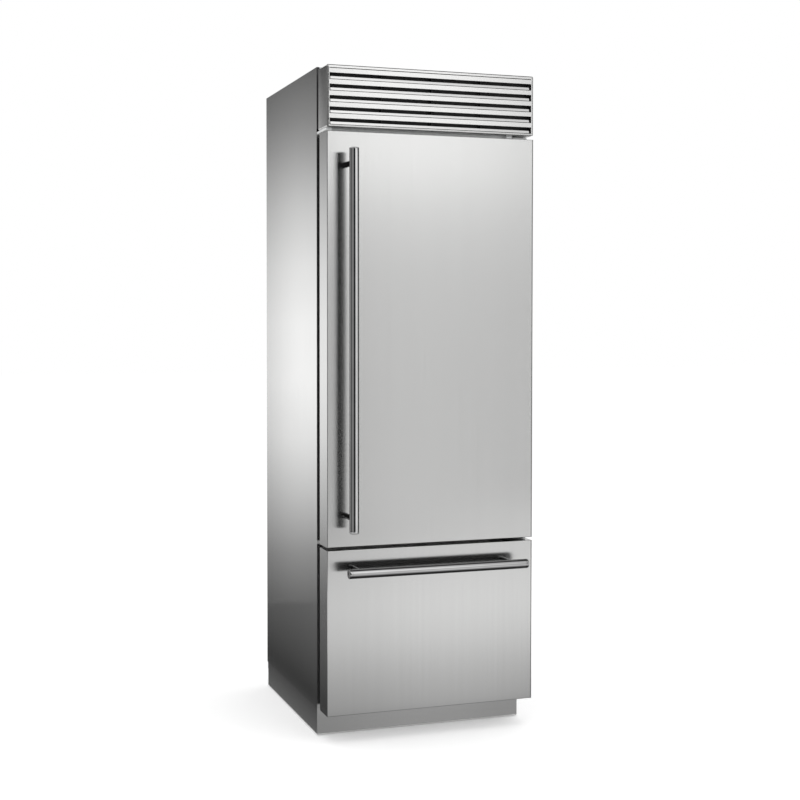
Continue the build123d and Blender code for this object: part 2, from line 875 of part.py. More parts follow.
# Hinges of the fridge door
def hinge_plate_span():
    """Limits of a hinge plate along X and Y."""
    x = (pivot_x + hinge_plate_nose - hinge_plate_length, pivot_x + hinge_plate_nose)
    return x, (pivot_y - hinge_plate_nose, cabinet_front + hinge_anchor)


def hinge_plate_at(low, high):
    """Flat hinge plate with rounded front corners."""
    x, y = hinge_plate_span()
    plate = block(x, y, (low, high))
    return fillet(plate.edges().filter_by(Axis.Z).group_by(Axis.Y)[0], hinge_nose_radius)


def upper_hinge():
    """Plate on the machine deck with its pin down into the door."""
    tip = door_top - hinge_pin_length
    pin = rod(hinge_pin_radius, (pivot_x, pivot_y, tip), (pivot_x, pivot_y, machine_deck))
    return hinge_plate_at(machine_deck, machine_deck + hinge_plate) + pin


def middle_hinge():
    """Plate anchored in the mullion with its pin up into the door."""
    top = mullion_middle + mullion_plate / 2
    tip = door_bottom + hinge_pin_length
    pin = rod(hinge_pin_radius, (pivot_x, pivot_y, top), (pivot_x, pivot_y, tip))
    return hinge_plate_at(mullion_middle - mullion_plate / 2, top) + pin


def hinge_plate_room(low, high):
    """Room for a hinge plate behind the cabinet's front."""
    x, y = hinge_plate_span()
    room_x = (x[0] - seat_clearance, x[1] + seat_clearance)
    return block(room_x, (cabinet_front, y[1] + seat_clearance), (low, high + seat_clearance))


def mullion_pocket():
    """Room for the middle hinge plate in the face frame and the foam."""
    reach = mullion_plate / 2
    return hinge_plate_room(mullion_middle - reach - seat_clearance, mullion_middle + reach)


def deck_notch():
    """Room for the upper hinge plate in the rail above the deck."""
    return hinge_plate_room(machine_deck, machine_deck + hinge_plate)


hinge_bush_radius = hinge_pin_radius + running_clearance + hinge_bush_wall


def hinge_bush(low, high, radius=hinge_bush_radius, bored=True):
    """Bush in the door about a hinge pin; unbored and widened it is the room for the bush."""
    bush = rod(radius, (pivot_x, pivot_y, low), (pivot_x, pivot_y, high))
    if bored:
        bush -= rod(hinge_pin_radius + running_clearance, (pivot_x, pivot_y, low), (pivot_x, pivot_y, high))
    return bush


def hinge_bushes():
    """Upper and lower bush of the door."""
    lower = hinge_bush(door_bottom, door_bottom + hinge_bush_length)
    return [lower, hinge_bush(door_top - hinge_bush_length, door_top)]


def hinge_bush_rooms():
    """Room for both bushes in the door's panel and foam."""
    radius = hinge_bush_radius + seat_clearance
    depth = hinge_bush_length + seat_clearance
    lower = hinge_bush(door_bottom, door_bottom + depth, radius, bored=False)
    return lower + hinge_bush(door_top - depth, door_top, radius, bored=False)


# Door and drawer fronts
def front_skin(low, high):
    """Folded steel front: face, four sides and the lip round its back."""
    x = (-half_width, half_width)
    z = (low, high)
    skin = block(x, (door_front, door_back), z)
    skin = fillet(skin.faces().sort_by(Axis.Y)[0].edges(), skin_bend_radius)
    inner_x = (skin_sheet - half_width, half_width - skin_sheet)
    skin -= block(inner_x, (door_front + skin_sheet, door_back), (low + skin_sheet, high - skin_sheet))
    return skin + ring(x, (door_back - skin_sheet, door_back), z, skin_lip)


def liner_span(low, high):
    """Limits of a front's inner liner across and along Z."""
    reach = half_width - liner_margin
    return (-reach, reach), (low + liner_margin, high - liner_margin)


def front_liner(low, high):
    """Thin inner liner of a front: a shallow pan, open to the foam."""
    x, z = liner_span(low, high)
    return hollow(x, (door_back, door_back + liner_plate), z, liner_wall, "front")


def front_foam(low, high):
    """Foam that fills a front's skin and its liner."""
    inner = half_width - skin_sheet
    z = (low + skin_sheet, high - skin_sheet)
    foam = block((-inner, inner), (door_front + skin_sheet, door_back - skin_sheet), z)
    mouth = half_width - skin_lip
    foam += block((-mouth, mouth), (door_back - skin_sheet, door_back), (low + skin_lip, high - skin_lip))
    x, z = liner_span(low, high)
    room_x = (x[0] + liner_wall, x[1] - liner_wall)
    room_z = (z[0] + liner_wall, z[1] - liner_wall)
    return foam + block(room_x, (door_back, door_back + liner_plate - liner_wall), room_z)


def front_gasket(low, high):
    """Seal between a front's liner and the face frame."""
    reach = half_width - gasket_margin
    y = (door_back + liner_plate, cabinet_front - gasket_gap)
    return ring((-reach, reach), y, (low + gasket_margin, high - gasket_margin), gasket_width)


def plug_span(floor, ceiling):
    """Limits of a front's inner plug across and along Z."""
    reach = cavity_half - plug_gap
    return (-reach, reach), (floor + plug_gap, ceiling - plug_gap)


plug_y = (door_back + liner_plate, cabinet_front + plug_reach)


def door_panel():
    """Steel front of the fridge door, with the holes for its hinge bushes."""
    return front_skin(door_bottom, door_top) - hinge_bush_rooms()


def door_foam():
    """Foam of the fridge door."""
    return front_foam(door_bottom, door_top) - hinge_bush_rooms()


def door_liner():
    """Inner liner of the fridge door with the raised dyke round its bins."""
    x, z = plug_span(fridge_floor, fridge_ceiling)
    return front_liner(door_bottom, door_top) + ring(x, plug_y, z, dyke_wall)


def door_bin(low):
    """Open bin between the dyke's upright walls."""
    reach = cavity_half - plug_gap - dyke_wall - bin_side_gap
    y = (plug_y[0], cabinet_front + bin_reach)
    return hollow((-reach, reach), y, (low, low + bin_height), bin_wall, "top")


bin_first_level = cover_level + bin_first_rise
bin_levels = [bin_first_level, *even(bin_first_level, fridge_ceiling, bin_count - 1)]


def drawer_liner():
    """Inner liner of the freezer drawer with its raised plug."""
    x, z = plug_span(freezer_floor, freezer_ceiling)
    return front_liner(drawer_bottom, drawer_top) + block(x, plug_y, z) - drawer_plug_room()


def drawer_plug_room():
    """Foamed room inside the drawer's plug."""
    x, z = plug_span(freezer_floor, freezer_ceiling)
    y = (plug_y[0] - liner_wall, plug_y[1] - liner_wall)
    return block((x[0] + liner_wall, x[1] - liner_wall), y, (z[0] + liner_wall, z[1] - liner_wall))


def drawer_foam():
    """Foam of the freezer drawer's front."""
    return front_foam(drawer_bottom, drawer_top) + drawer_plug_room()


# Tubular handles
def handle(start, end):
    """Tube between two ends, and its two posts and two end caps as separate solids."""
    radius = handle_diameter / 2
    first, last = Vector(*start), Vector(*end)
    along = (last - first).normalized()
    bore = radius - handle_wall
    body = (first + along * handle_cap_length, last - along * handle_cap_length)
    tube = rod(radius, body[0], body[1]) - rod(bore, body[0], body[1])
    fittings = []
    for tip, inward, seat in ((first, along, body[0]), (last, along * -1, body[1])):
        cap = rod(radius, tip, seat)
        fittings.append(cap + rod(bore - seat_clearance, seat, seat + inward * handle_cap_spigot))
        axis = tip + inward * handle_post_inset
        post = rod(handle_post_diameter / 2, axis, (axis.X, door_front, axis.Z))
        fittings.append(post - rod(radius + handle_saddle_gap, first, last))
    return tube, fittings


def door_handle():
    """Upright handle near the door's left edge, its middle just below the door's middle."""
    x = door_handle_inset - half_width
    y = door_front - handle_standoff
    middle = (door_bottom + door_top) / 2 - door_handle_drop
    return handle((x, y, middle - door_handle_length / 2), (x, y, middle + door_handle_length / 2))


def drawer_handle():
    """Level handle along the drawer's upper edge."""
    reach = drawer_handle_length / 2
    y = door_front - handle_standoff
    z = drawer_top - drawer_handle_drop
    return handle((-reach, y, z), (reach, y, z))


# Freezer drawer's slides, basket and tray
slide_level = freezer_floor + slide_rise
slide_step = slide_gauge + slide_clearance
slide_y = (cabinet_front + slide_front_gap, duct_front - slide_back_gap)
slide_shelf_top = slide_level - slide_height / 2 + 2 * slide_step + slide_shelf
basket_half = cavity_half - basket_side_gap
basket_front = plug_y[1] + basket_front_gap
basket_back = duct_front - basket_back_gap
basket_rim = freezer_ceiling - basket_ceiling_gap


def slide_channel(side, layer):
    """Channel of a telescopic slide, open to the inside; layer 0 is the fixed member, 1 the middle one."""
    wall = cavity_half - layer * slide_step
    lip = cavity_half - slide_depth + layer * slide_flange_step
    reach = slide_height / 2 - layer * slide_step
    channel = block((side * lip, side * wall), slide_y, (slide_level - reach, slide_level + reach))
    room = reach - slide_gauge
    room_z = (slide_level - room, slide_level + room)
    return channel - block((side * lip, side * (wall - slide_gauge)), slide_y, room_z)


def slide_carrier(side):
    """Inner slide member: web, ledge under the basket and the bracket on the drawer's plug."""
    wall = cavity_half - 2 * slide_step
    reach = slide_height / 2 - 2 * slide_step
    y = (plug_y[1], slide_y[1])
    web = block((side * (wall - slide_gauge), side * wall), y, (slide_level - reach, slide_level + reach))
    ledge_z = (slide_shelf_top - slide_shelf, slide_shelf_top)
    ledge = block((side * (basket_half + slide_clearance), side * wall), y, ledge_z)
    return web + ledge


def drawer_bin():
    """Deep basket of the freezer drawer, hung by its side ledges."""
    y = (basket_front, basket_back)
    z = (freezer_floor + basket_lift, basket_rim)
    basket = hollow((-basket_half, basket_half), y, z, basket_wall, "top")
    for side in (-1, 1):
        x = (side * basket_half, side * (cavity_half - slide_depth - slide_clearance))
        basket += block(x, y, (slide_shelf_top, slide_shelf_top + basket_ledge))
    return basket


def freezer_tray():
    """Half-depth tray that hangs in the basket and slides on its rim."""
    reach = basket_half - basket_wall - freezer_tray_side_gap
    front = basket_front + basket_wall + freezer_tray_front_gap
    y = (front, front + freezer_tray_length)
    top = basket_rim + freezer_tray_rise
    tray = hollow((-reach, reach), y, (top - freezer_tray_height, top), freezer_tray_wall, "top")
    flange_z = (basket_rim + slide_clearance, basket_rim + slide_clearance + freezer_tray_wall)
    for side in (-1, 1):
        tray += block((side * reach, side * basket_half), y, flange_z)
    return tray


# Louvred grille
def louvre_window_tops():
    """Upper edges of the face sheet's windows."""
    return [grille_top - grille_top_rail - k * louvre_pitch for k in range(louvre_count)]


def grille_frame():
    """Folded frame: face sheet with windows, sides, bottom, a short top and the pivot bosses."""
    x = (-half_width, half_width)
    y = (door_front, cabinet_front - grille_back_gap)
    frame = hollow(x, y, (grille_bottom, grille_top), grille_sheet, "back")
    inner = half_width - grille_sheet
    open_y = (door_front + grille_top_depth, y[1])
    frame -= block((-inner, inner), open_y, (grille_top - grille_sheet, grille_top))
    window = half_width - grille_stile
    face = (door_front, door_front + grille_sheet)
    for top in louvre_window_tops():
        frame -= block((-window, window), face, (top - louvre_window, top))
    line_top = grille_top - grille_top_line
    frame -= block((-window, window), face, (line_top - grille_line, line_top))
    line_y, line_z = grille_pivot()
    for side in (-1, 1):
        ends = ((side * (inner - grille_boss_length), line_y, line_z), (side * inner, line_y, line_z))
        frame += rod(grille_boss_radius, *ends)
        frame -= rod(grille_pivot_radius + running_clearance, *ends)
    return frame


def louvre_blades():
    """Folded slats behind the windows, each a leaning lip and a plate, carried by upright ribs."""
    reach = half_width - grille_stile - louvre_end_gap
    front = door_front + grille_sheet + louvre_face_gap
    back = front + louvre_depth
    fold_y = front + louvre_lip_lean
    pieces = []
    for top in louvre_window_tops():
        low = top - louvre_window + grille_line
        fold_z = low + louvre_lip_height
        outer = [(front, low), (fold_y, fold_z), (back, low + louvre_rise)]
        inner = [(back, low + louvre_rise - louvre_sheet), (fold_y + louvre_sheet, fold_z - louvre_sheet),
                 (front + louvre_sheet, low)]
        outline = Plane.YZ.offset(-reach) * make_face(Polyline(*outer, *inner, close=True))
        pieces.append(extrude(outline, 2 * reach))
    rib_y = (front + louvre_depth / 2, back + louvre_rib_depth)
    rib_z = (grille_bottom + grille_sheet, grille_top - grille_sheet)
    for middle in even(-reach, reach, louvre_ribs):
        pieces.append(block((middle - louvre_sheet / 2, middle + louvre_sheet / 2), rib_y, rib_z))
    return Part() + pieces


door_bar, door_fittings = door_handle()
drawer_bar, drawer_fittings = drawer_handle()

nodes = {
    "left_side_panel": side_panel(-1),
    "right_side_panel": side_panel(1),
    "back_panel": back_panel(),
    "top_cover": top_cover(),
    "insulation_foam": insulation_foam(),
    "fridge_liner": liner(fridge_floor, fridge_ceiling),
    "freezer_liner": liner(freezer_floor, freezer_ceiling),
    "face_frame": face_frame(),
    "base_frame": base_frame(),
    "plinth": plinth(),
    "levelling_feet": both_sides(levelling_foot),
    "roller_brackets": both_sides(roller_bracket) + both_sides(roller_axle),
    "rear_rollers": both_sides(roller),
    "compressor_tray": compressor_tray(),
    "compressor": compressor(),
    "condenser": condenser(),
    "condenser_fan_shroud": condenser_fan_shroud(),
    "condenser_fan_rotor": condenser_fan_rotor(),
    "refrigerant_pipes": refrigerant_pipes(),
    "control_box": control_box(),
    "fan_motors": [condenser_motor(), evaporator_motor(fridge_floor), evaporator_motor(freezer_floor)],
    "evaporator_coils": [evaporator(fridge_floor), evaporator(freezer_floor)],
    "fridge_duct_panel": duct_panel(fridge_floor, fridge_ceiling),
    "freezer_duct_panel": duct_panel(freezer_floor, freezer_ceiling),
    "fridge_fan_rotor": evaporator_rotor(fridge_floor),
    "freezer_fan_rotor": evaporator_rotor(freezer_floor),
    "shelf_rails": shelf_rails(),
    "shelf_trims": [shelf_trim(level) for level in (cover_level, *shelf_levels)],
    "crisper_cover": shelf(cover_level),
    "crisper_drawer": crisper_drawer(),
    "humidity_slider": humidity_slider(),
    "light_strips": both_sides(light_strip),
    "control_panel": control_panel(),
    "hinge_brackets": [upper_hinge(), middle_hinge()],
    "door_panel": door_panel(),
    "door_foam": door_foam(),
    "door_liner": door_liner(),
    "door_gasket": front_gasket(door_bottom, door_top),
    "door_handle_bar": door_bar,
    "door_handle_fittings": door_fittings,
    "hinge_bushes": hinge_bushes(),
    "drawer_panel": front_skin(drawer_bottom, drawer_top),
    "drawer_foam": drawer_foam(),
    "drawer_liner": drawer_liner(),
    "drawer_gasket": front_gasket(drawer_bottom, drawer_top),
    "drawer_handle_bar": drawer_bar,
    "drawer_handle_fittings": drawer_fittings,
    "drawer_bin": drawer_bin(),
    "freezer_tray": freezer_tray(),
    "drawer_slides_fixed": both_sides(lambda side: slide_channel(side, 0)),
    "drawer_slides_middle": both_sides(lambda side: slide_channel(side, 1)),
    "drawer_slides_inner": both_sides(slide_carrier),
    "grille_frame": grille_frame(),
    "louvre_blades": louvre_blades(),
}
for number, level in enumerate(shelf_levels, 1):
    nodes[f"shelf_{number}"] = shelf(level)
for number, level in enumerate(bin_levels, 1):
    nodes[f"door_bin_{number}"] = door_bin(level)

os.makedirs("parts", exist_ok=True)
for name, shape in nodes.items():
    solids = Compound(children=shape) if isinstance(shape, list) else shape
    export_step(solids, f"parts/{name}.step")
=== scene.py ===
"""Looks of a tall stainless-steel refrigerator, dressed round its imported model.

Metres, +Z up, +Y to the back, +X to the right of someone facing the door.
"""
import bmesh
import bpy
import math
from mathutils import Matrix, Vector


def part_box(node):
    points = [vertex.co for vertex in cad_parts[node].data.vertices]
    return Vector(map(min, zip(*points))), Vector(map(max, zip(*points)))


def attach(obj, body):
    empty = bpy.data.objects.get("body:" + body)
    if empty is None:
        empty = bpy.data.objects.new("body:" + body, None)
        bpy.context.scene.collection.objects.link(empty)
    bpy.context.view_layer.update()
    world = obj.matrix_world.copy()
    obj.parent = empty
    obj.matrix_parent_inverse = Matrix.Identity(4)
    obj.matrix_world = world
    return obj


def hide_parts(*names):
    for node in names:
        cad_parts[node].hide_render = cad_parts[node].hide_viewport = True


bl_info = {
    "name": "Tall Steel Refrigerator",
    "version": (1, 0, 0),
    "blender": (4, 5, 0),
    "location": "View3D > Sidebar > Refrigerator",
    "description": "Finishes, handles, liners, shelves and bins of a tall refrigerator, and its studio",
    "category": "Object",
}

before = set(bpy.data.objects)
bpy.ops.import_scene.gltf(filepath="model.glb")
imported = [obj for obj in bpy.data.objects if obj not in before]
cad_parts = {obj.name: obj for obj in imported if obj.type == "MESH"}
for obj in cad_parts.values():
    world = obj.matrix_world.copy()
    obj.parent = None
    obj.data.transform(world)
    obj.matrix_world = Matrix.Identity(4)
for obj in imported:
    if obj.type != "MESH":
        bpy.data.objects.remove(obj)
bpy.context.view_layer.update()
RIGHT, BACK, UP = Vector((1, 0, 0)), Vector((0, 1, 0)), Vector((0, 0, 1))
FRONT = -BACK
FRONTS = (("door", "fridge_door"), ("drawer", "freezer_drawer"))


def centre(node):
    """Middle of a node's box."""
    low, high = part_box(node)
    return (low + high) / 2


def shortest(node):
    """Least extent of a node's box."""
    low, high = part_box(node)
    return min(high - low)


# What a user would change
def length_property(name, description, default, least):
    """A length with its least value."""
    return bpy.props.FloatProperty(
        name=name, description=description, default=default, min=least, unit="LENGTH")


def colour_property(name, description, default):
    """A colour."""
    return bpy.props.FloatVectorProperty(
        name=name, description=description, default=default, min=0, max=1, size=3, subtype="COLOR")


class FridgeSizes(bpy.types.PropertyGroup):
    """Sizes of the dressed pieces."""
    handle_radius: length_property(
        "Handle radius", "Outer radius of the handle tubes", shortest("door_handle_bar") / 2, 0.005)
    handle_cap: length_property(
        "Handle cap", "Length of a handle's end cap, up to its joint line", 0.010, 0.004)
    post_radius: length_property("Post radius", "Radius of the posts that carry a handle", 0.009, 0.003)
    post_inset: length_property("Post inset", "Distance of a post from its end of the handle", 0.045, 0.01)
    liner_radius: length_property("Liner radius", "Rounding in the corners of the compartments", 0.016, 0.002)
    liner_wall: length_property("Liner wall", "Wall of the compartment liners", 0.0025, 0.001)
    bin_radius: length_property("Bin radius", "Rounding of the bins' corners", 0.012, 0.002)
    bin_wall: length_property("Bin wall", "Wall of the door bins", 0.0025, 0.001)
    grille_sheet: length_property("Grille sheet", "Sheet of the grille", 0.002, 0.0005)
    grille_stile: length_property(
        "Grille stile", "Width of the grille's face beside its windows", 0.008, 0.002)
    grille_bend: length_property("Grille bend", "Outer radius of the grille's folds", 0.0045, 0.0005)
    louvre_drop: length_property(
        "Louvre drop", "Distance of the first window below the grille's top", 0.0253, 0.005)
    louvre_pitch: length_property("Louvre pitch", "Distance from one window to the next", 0.0347, 0.01)
    louvre_window: length_property("Louvre window", "Height of a window", 0.0208, 0.005)
    louvre_line: length_property(
        "Louvre line", "Dark line under each slat's lip and near the top", 0.0024, 0.0005)
    line_drop: length_property("Line drop", "Distance of the dark line below the grille's top", 0.0094, 0.003)
    louvre_count: bpy.props.IntProperty(
        name="Louvres", description="Number of windows", default=5, min=1)
    dyke_wall: length_property("Dyke wall", "Wall of the raised frame round the door bins", 0.012, 0.004)


class FridgeColours(bpy.types.PropertyGroup):
    """Colours of the finishes."""
    steel: colour_property("Steel", "Brushed stainless sheet", (0.56, 0.56, 0.555))
    tube: colour_property("Handle tube", "Polished steel of the handles", (0.45, 0.45, 0.45))
    # Painted shade: colour laid on the handles' backs, the drawer handle's underside, the door handle's right
    # side and the posts
    tube_painted_shade: colour_property(
        "Handle back", "Dark unpolished back of the handles, and their posts", (0.04, 0.04, 0.04))
    zinc: colour_property("Galvanised sheet", "Back, base and slides", (0.50, 0.52, 0.53))
    liner: colour_property("Liner", "White inner mouldings", (0.82, 0.83, 0.83))
    clear: colour_property("Clear moulding", "Bins and vegetable drawer", (0.93, 0.97, 0.98))
    glass: colour_property("Shelf glass", "Toughened shelf glass", (0.86, 0.96, 0.93))
    # Also gives, a little lighter, the colour of the painted shade on the front linings' rims
    seal: colour_property("Seal", "Soft door seals and their trim", (0.020, 0.020, 0.021))
    dark: colour_property("Dark moulding", "Fans, feet, rollers and housings", (0.045, 0.047, 0.05))


# Shader maths
def maths(operation, swapped=False):
    """An operator of a value, which adds a Math node."""
    def added(self, *others):
        terms = (*others, self) if swapped else (self, *others)
        return self.tree.node("ShaderNodeMath", {"operation": operation}, dict(enumerate(terms)))
    return added


class Value:
    """A socket of a node tree; arithmetic on it adds Math nodes."""

    def __init__(self, tree, socket):
        self.tree = tree
        self.socket = socket

    __add__ = __radd__ = maths("ADD")
    __sub__ = maths("SUBTRACT")
    __rsub__ = maths("SUBTRACT", swapped=True)
    __mul__ = __rmul__ = maths("MULTIPLY")
    __truediv__ = maths("DIVIDE")
    __mod__ = maths("FLOORED_MODULO")
    __gt__ = maths("GREATER_THAN")
    __lt__ = maths("LESS_THAN")
    __or__ = maths("MAXIMUM")
    __abs__ = maths("ABSOLUTE")


class Tree:
    """Adds the nodes of a material or of the world."""

    def __init__(self, owner):
        owner.use_nodes = True
        self.tree = owner.node_tree
        self.tree.nodes.clear()

    def node(self, kind, settings=None, inputs=None, output=0):
        """A new node with its settings and its sockets' values or links; gives one of its outputs."""
        made = self.tree.nodes.new(kind)
        for key, value in (settings or {}).items():
            if key == "stops":
                while len(made.color_ramp.elements) < len(value):
                    made.color_ramp.elements.new(1.0)
                for stop, (place, level) in zip(made.color_ramp.elements, value):
                    stop.position = place
                    stop.color = (level, level, level, 1.0)
            else:
                setattr(made, key, value)
        for key, value in (inputs or {}).items():
            if isinstance(value, Value):
                self.tree.links.new(value.socket, made.inputs[key])
            else:
                made.inputs[key].default_value = value
        return Value(self, made.outputs[output]) if made.outputs else None

    def place(self):
        """Where a point lies in the part's frame."""
        return self.node("ShaderNodeTexCoord", output="Object")

    def noise(self, scale, detail, stretch=(1.0, 1.0, 1.0)):
        """Noise in the part's frame, stretched along its axes."""
        place = self.node("ShaderNodeMapping", inputs={"Vector": self.place(), "Scale": stretch})
        return self.node("ShaderNodeTexNoise", inputs={"Vector": place, "Scale": scale, "Detail": detail})

    def blend(self, first, second, factor, kind="MIX"):
        """Two colours mixed by a factor."""
        sockets = {0: factor}
        for socket, colour in ((6, first), (7, second)):
            sockets[socket] = colour if isinstance(colour, Value) else (*colour, 1.0)
        return self.node("ShaderNodeMix", {"data_type": "RGBA", "blend_type": kind}, sockets, output=2)

    def along(self, axis):
        """Where a point lies along an axis of the part's frame."""
        return self.node("ShaderNodeSeparateXYZ", inputs={0: self.place()}, output="XYZ".index(axis))

    def ramp(self, axis, stops):
        """Grey level that changes along an axis, or with the bearing from a point on the floor.

        Stops are (place or tangent of the bearing, level from 0 to 1).
        """
        first, last = stops[0][0], stops[-1][0]
        stops = [((place - first) / (last - first), level) for place, level in stops]
        if axis in ("X", "Y", "Z"):
            along = self.along(axis)
        else:
            along = (self.along("X") - axis[0]) / (axis[1] - self.along("Y"))
        return self.node("ShaderNodeValToRGB", {"stops": stops}, {0: (along - first) * (1 / (last - first))})

    def bump(self, height, distance, strength):
        """Normal of a surface with fine relief."""
        sockets = {"Height": height, "Distance": distance, "Strength": strength}
        return self.node("ShaderNodeBump", inputs=sockets)

    def surface(self, sockets):
        """Ends the tree in a Principled shader with these sockets."""
        shader = self.node("ShaderNodeBsdfPrincipled", inputs=sockets)
        self.node("ShaderNodeOutputMaterial", inputs={"Surface": shader})


def shade(colour, factor):
    """A colour made darker or lighter."""
    return tuple(min(1.0, channel * factor) for channel in colour)


# Finishes
EDGE_SHADE = 0.12  # share of the steel's tone left where shade is painted on the hinge-side bend


def brushed(tree, colour, grain, roughness, smear, edge_shade=None):
    """Sheet steel with hairlines along one axis, faint streaks and a little cloudiness, and painted shade
    where a mask says.
    """
    fine = tree.noise(1.0, 3.0, [5.0 if axis == grain else 1300.0 for axis in "XYZ"])
    streak = tree.noise(1.0, 2.0, [0.7 if axis == grain else 70.0 for axis in "XYZ"])
    cloud = tree.noise(2.2, 3.0)
    tone = 0.45 * fine + 0.35 * streak + 0.2 * cloud
    skin = tree.blend(shade(colour, 0.93), shade(colour, 1.07), tone)
    tree.surface({
        "Base Color": tree.blend(skin, shade(colour, EDGE_SHADE), edge_shade) if edge_shade else skin,
        "Metallic": 1.0,
        "Roughness": roughness - 0.05 + 0.06 * fine + 0.04 * cloud,
        "Anisotropic": smear,
        "Normal": tree.bump(fine, 0.0001, 0.05),
    })


def hinge_edge_shade(tree, node):
    """Mask of the painted shade on the front bend on the hinge side of a node."""
    low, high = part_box(node)
    right = tree.ramp("X", [(high.x - 0.0045, 0.0), (high.x - 0.0025, 1.0)])
    return right * tree.ramp("Y", [(low.y + 0.0014, 1.0), (low.y + 0.0024, 0.0)])


def steel_front(tree, colours):
    brushed(tree, colours.steel, "Z", 0.19, 0.80, hinge_edge_shade(tree, "door_panel"))


def steel_side(tree, colours):
    brushed(tree, colours.steel, "Z", 0.165, 0.72)


def steel_level(tree, colours):
    # Painted light: level-brushed steel made 14% lighter than the upright panels' steel
    brushed(tree, shade(colours.steel, 1.14), "X", 0.20, 0.0)


def steel_with_inside_shade(tree, colours, inside):
    """Level-brushed steel with painted shade on the hinge-side bend, and black where a mask is one, painted
    as shade.
    """
    fine = tree.noise(1.0, 3.0, (5.0, 1300.0, 1300.0))
    cloud = tree.noise(2.2, 3.0)
    steel = tree.blend(shade(colours.steel, 0.95), shade(colours.steel, 1.05), 0.6 * fine + 0.4 * cloud)
    steel = tree.blend(steel, shade(colours.steel, EDGE_SHADE), hinge_edge_shade(tree, "grille_frame"))
    tree.surface({
        "Base Color": tree.blend(steel, (0.014, 0.014, 0.014), inside),
        "Metallic": 1.0 - inside,
        "Roughness": 0.16 + 0.07 * fine + 0.35 * inside,
        "Anisotropic": 0.4,
    })


def louvre_steel(tree, colours):
    """Bright leaning lips on slats, with black painted as shade behind them and at their hinge-side ends."""
    sizes = bpy.context.scene.fridge_sizes
    lip_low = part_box("grille_frame")[1].z - sizes.louvre_drop - sizes.louvre_window + sizes.louvre_line
    low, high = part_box("louvre_blades")
    rise = (tree.along("Z") - lip_low) % sizes.louvre_pitch
    lean, lip, end_shade = 0.29, 0.0008, 0.0021
    behind = tree.along("Y") - low.y - lean * rise
    steel_with_inside_shade(tree, colours, (behind > lip) | (tree.along("X") > high.x - end_shade))


def grille_steel(tree, colours):
    """Face, sides and top of the grille, with black painted as shade on the inside."""
    low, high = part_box("grille_frame")
    x, y, z = (tree.along(axis) for axis in "XYZ")
    skin = 0.0012
    # Painted shade: black over the grille's inner faces
    inside = (high.x - skin > abs(x)) * (y > low.y + skin) * (high.z - skin > z) * (z > low.z + skin)
    steel_with_inside_shade(tree, colours, inside)


def tube_steel(tree, colours, tone, dark, satin=0.0):
    """Polished tube with faint drawing lines and handling marks, with painted shade where the dark mask says
    and satin where the satin mask says.
    """
    fine = tree.noise(700.0, 2.0)
    marks = tree.noise(18.0, 4.0)
    bright = tree.blend(shade(colours.tube, 0.88 * tone), shade(colours.tube, 1.1 * tone), marks)
    tree.surface({
        "Base Color": tree.blend(bright, colours.tube_painted_shade, dark),
        "Metallic": 1.0,
        "Roughness": 0.02 + 0.01 * fine + 0.04 * marks + satin,
    })


def tube_upright(tree, colours):
    """Door handle, with painted shade towards the door and along its right side."""
    middle = centre("door_handle_bar")
    back = tree.ramp("Y", [(middle.y + 0.002, 0.0), (middle.y + 0.007, 1.0)])
    side = tree.ramp("X", [(middle.x + 0.0091, 0.0), (middle.x + 0.0112, 0.8)])
    # Tone 1.12 paints this handle's steel lighter than the drawer handle's, as painted light
    tube_steel(tree, colours, 1.12, back | side)


def tube_level(tree, colours):
    """Drawer handle, with painted shade towards the drawer and underneath, but not on the rims of its ends.
    """
    middle = centre("drawer_handle_bar")
    left, right = (corner.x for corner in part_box("drawer_handle_fittings"))
    back = tree.ramp("Y", [(middle.y - 0.008, 0.0), (middle.y - 0.003, 1.0)])
    under_shade = tree.ramp("Z", [(middle.z - 0.007, 0.8), (middle.z - 0.002, 0.0)])
    length = tree.ramp("X", [(left + 0.0008, 0.0), (left + 0.002, 1.0), (right - 0.002, 1.0),
                             (right - 0.0008, 0.0)])
    # Tone 0.9 paints this handle's steel darker than the door handle's, as painted shade
    tube_steel(tree, colours, 0.9, (back | under_shade) * length, 0.45 * (1 - length))


def galvanised(tree, colours):
    """Zinc-coated sheet with its crystal pattern."""
    cells = tree.node("ShaderNodeTexVoronoi", inputs={"Vector": tree.place(), "Scale": 55.0}, output="Color")
    level = tree.node("ShaderNodeRGBToBW", inputs={0: cells})
    cloud = tree.noise(6.0, 4.0)
    tone = 0.7 * level + 0.3 * cloud
    tree.surface({
        "Base Color": tree.blend(shade(colours.zinc, 0.82), shade(colours.zinc, 1.15), tone),
        "Metallic": 0.9,
        "Roughness": 0.36 + 0.14 * tone,
        "Normal": tree.bump(cloud, 0.0004, 0.12),
    })


def moulded(tree, colour, roughness, grain, relief, coat=0.0):
    """Moulded plastic with a fine grain and slight tone changes."""
    skin = tree.noise(grain, 2.0)
    cloud = tree.noise(5.0, 3.0)
    tree.surface({
        "Base Color": tree.blend(shade(colour, 0.96), shade(colour, 1.03), cloud),
        "Roughness": roughness + 0.08 * skin,
        "Coat Weight": coat,
        "Normal": tree.bump(skin, relief, 0.2),
    })


def white_liner(tree, colours):
    moulded(tree, colours.liner, 0.22, 160.0, 0.0002, 0.15)


def white_moulding(tree, colours):
    moulded(tree, colours.liner, 0.38, 900.0, 0.0001)


def dark_moulding(tree, colours):
    moulded(tree, colours.dark, 0.42, 1200.0, 0.0001)


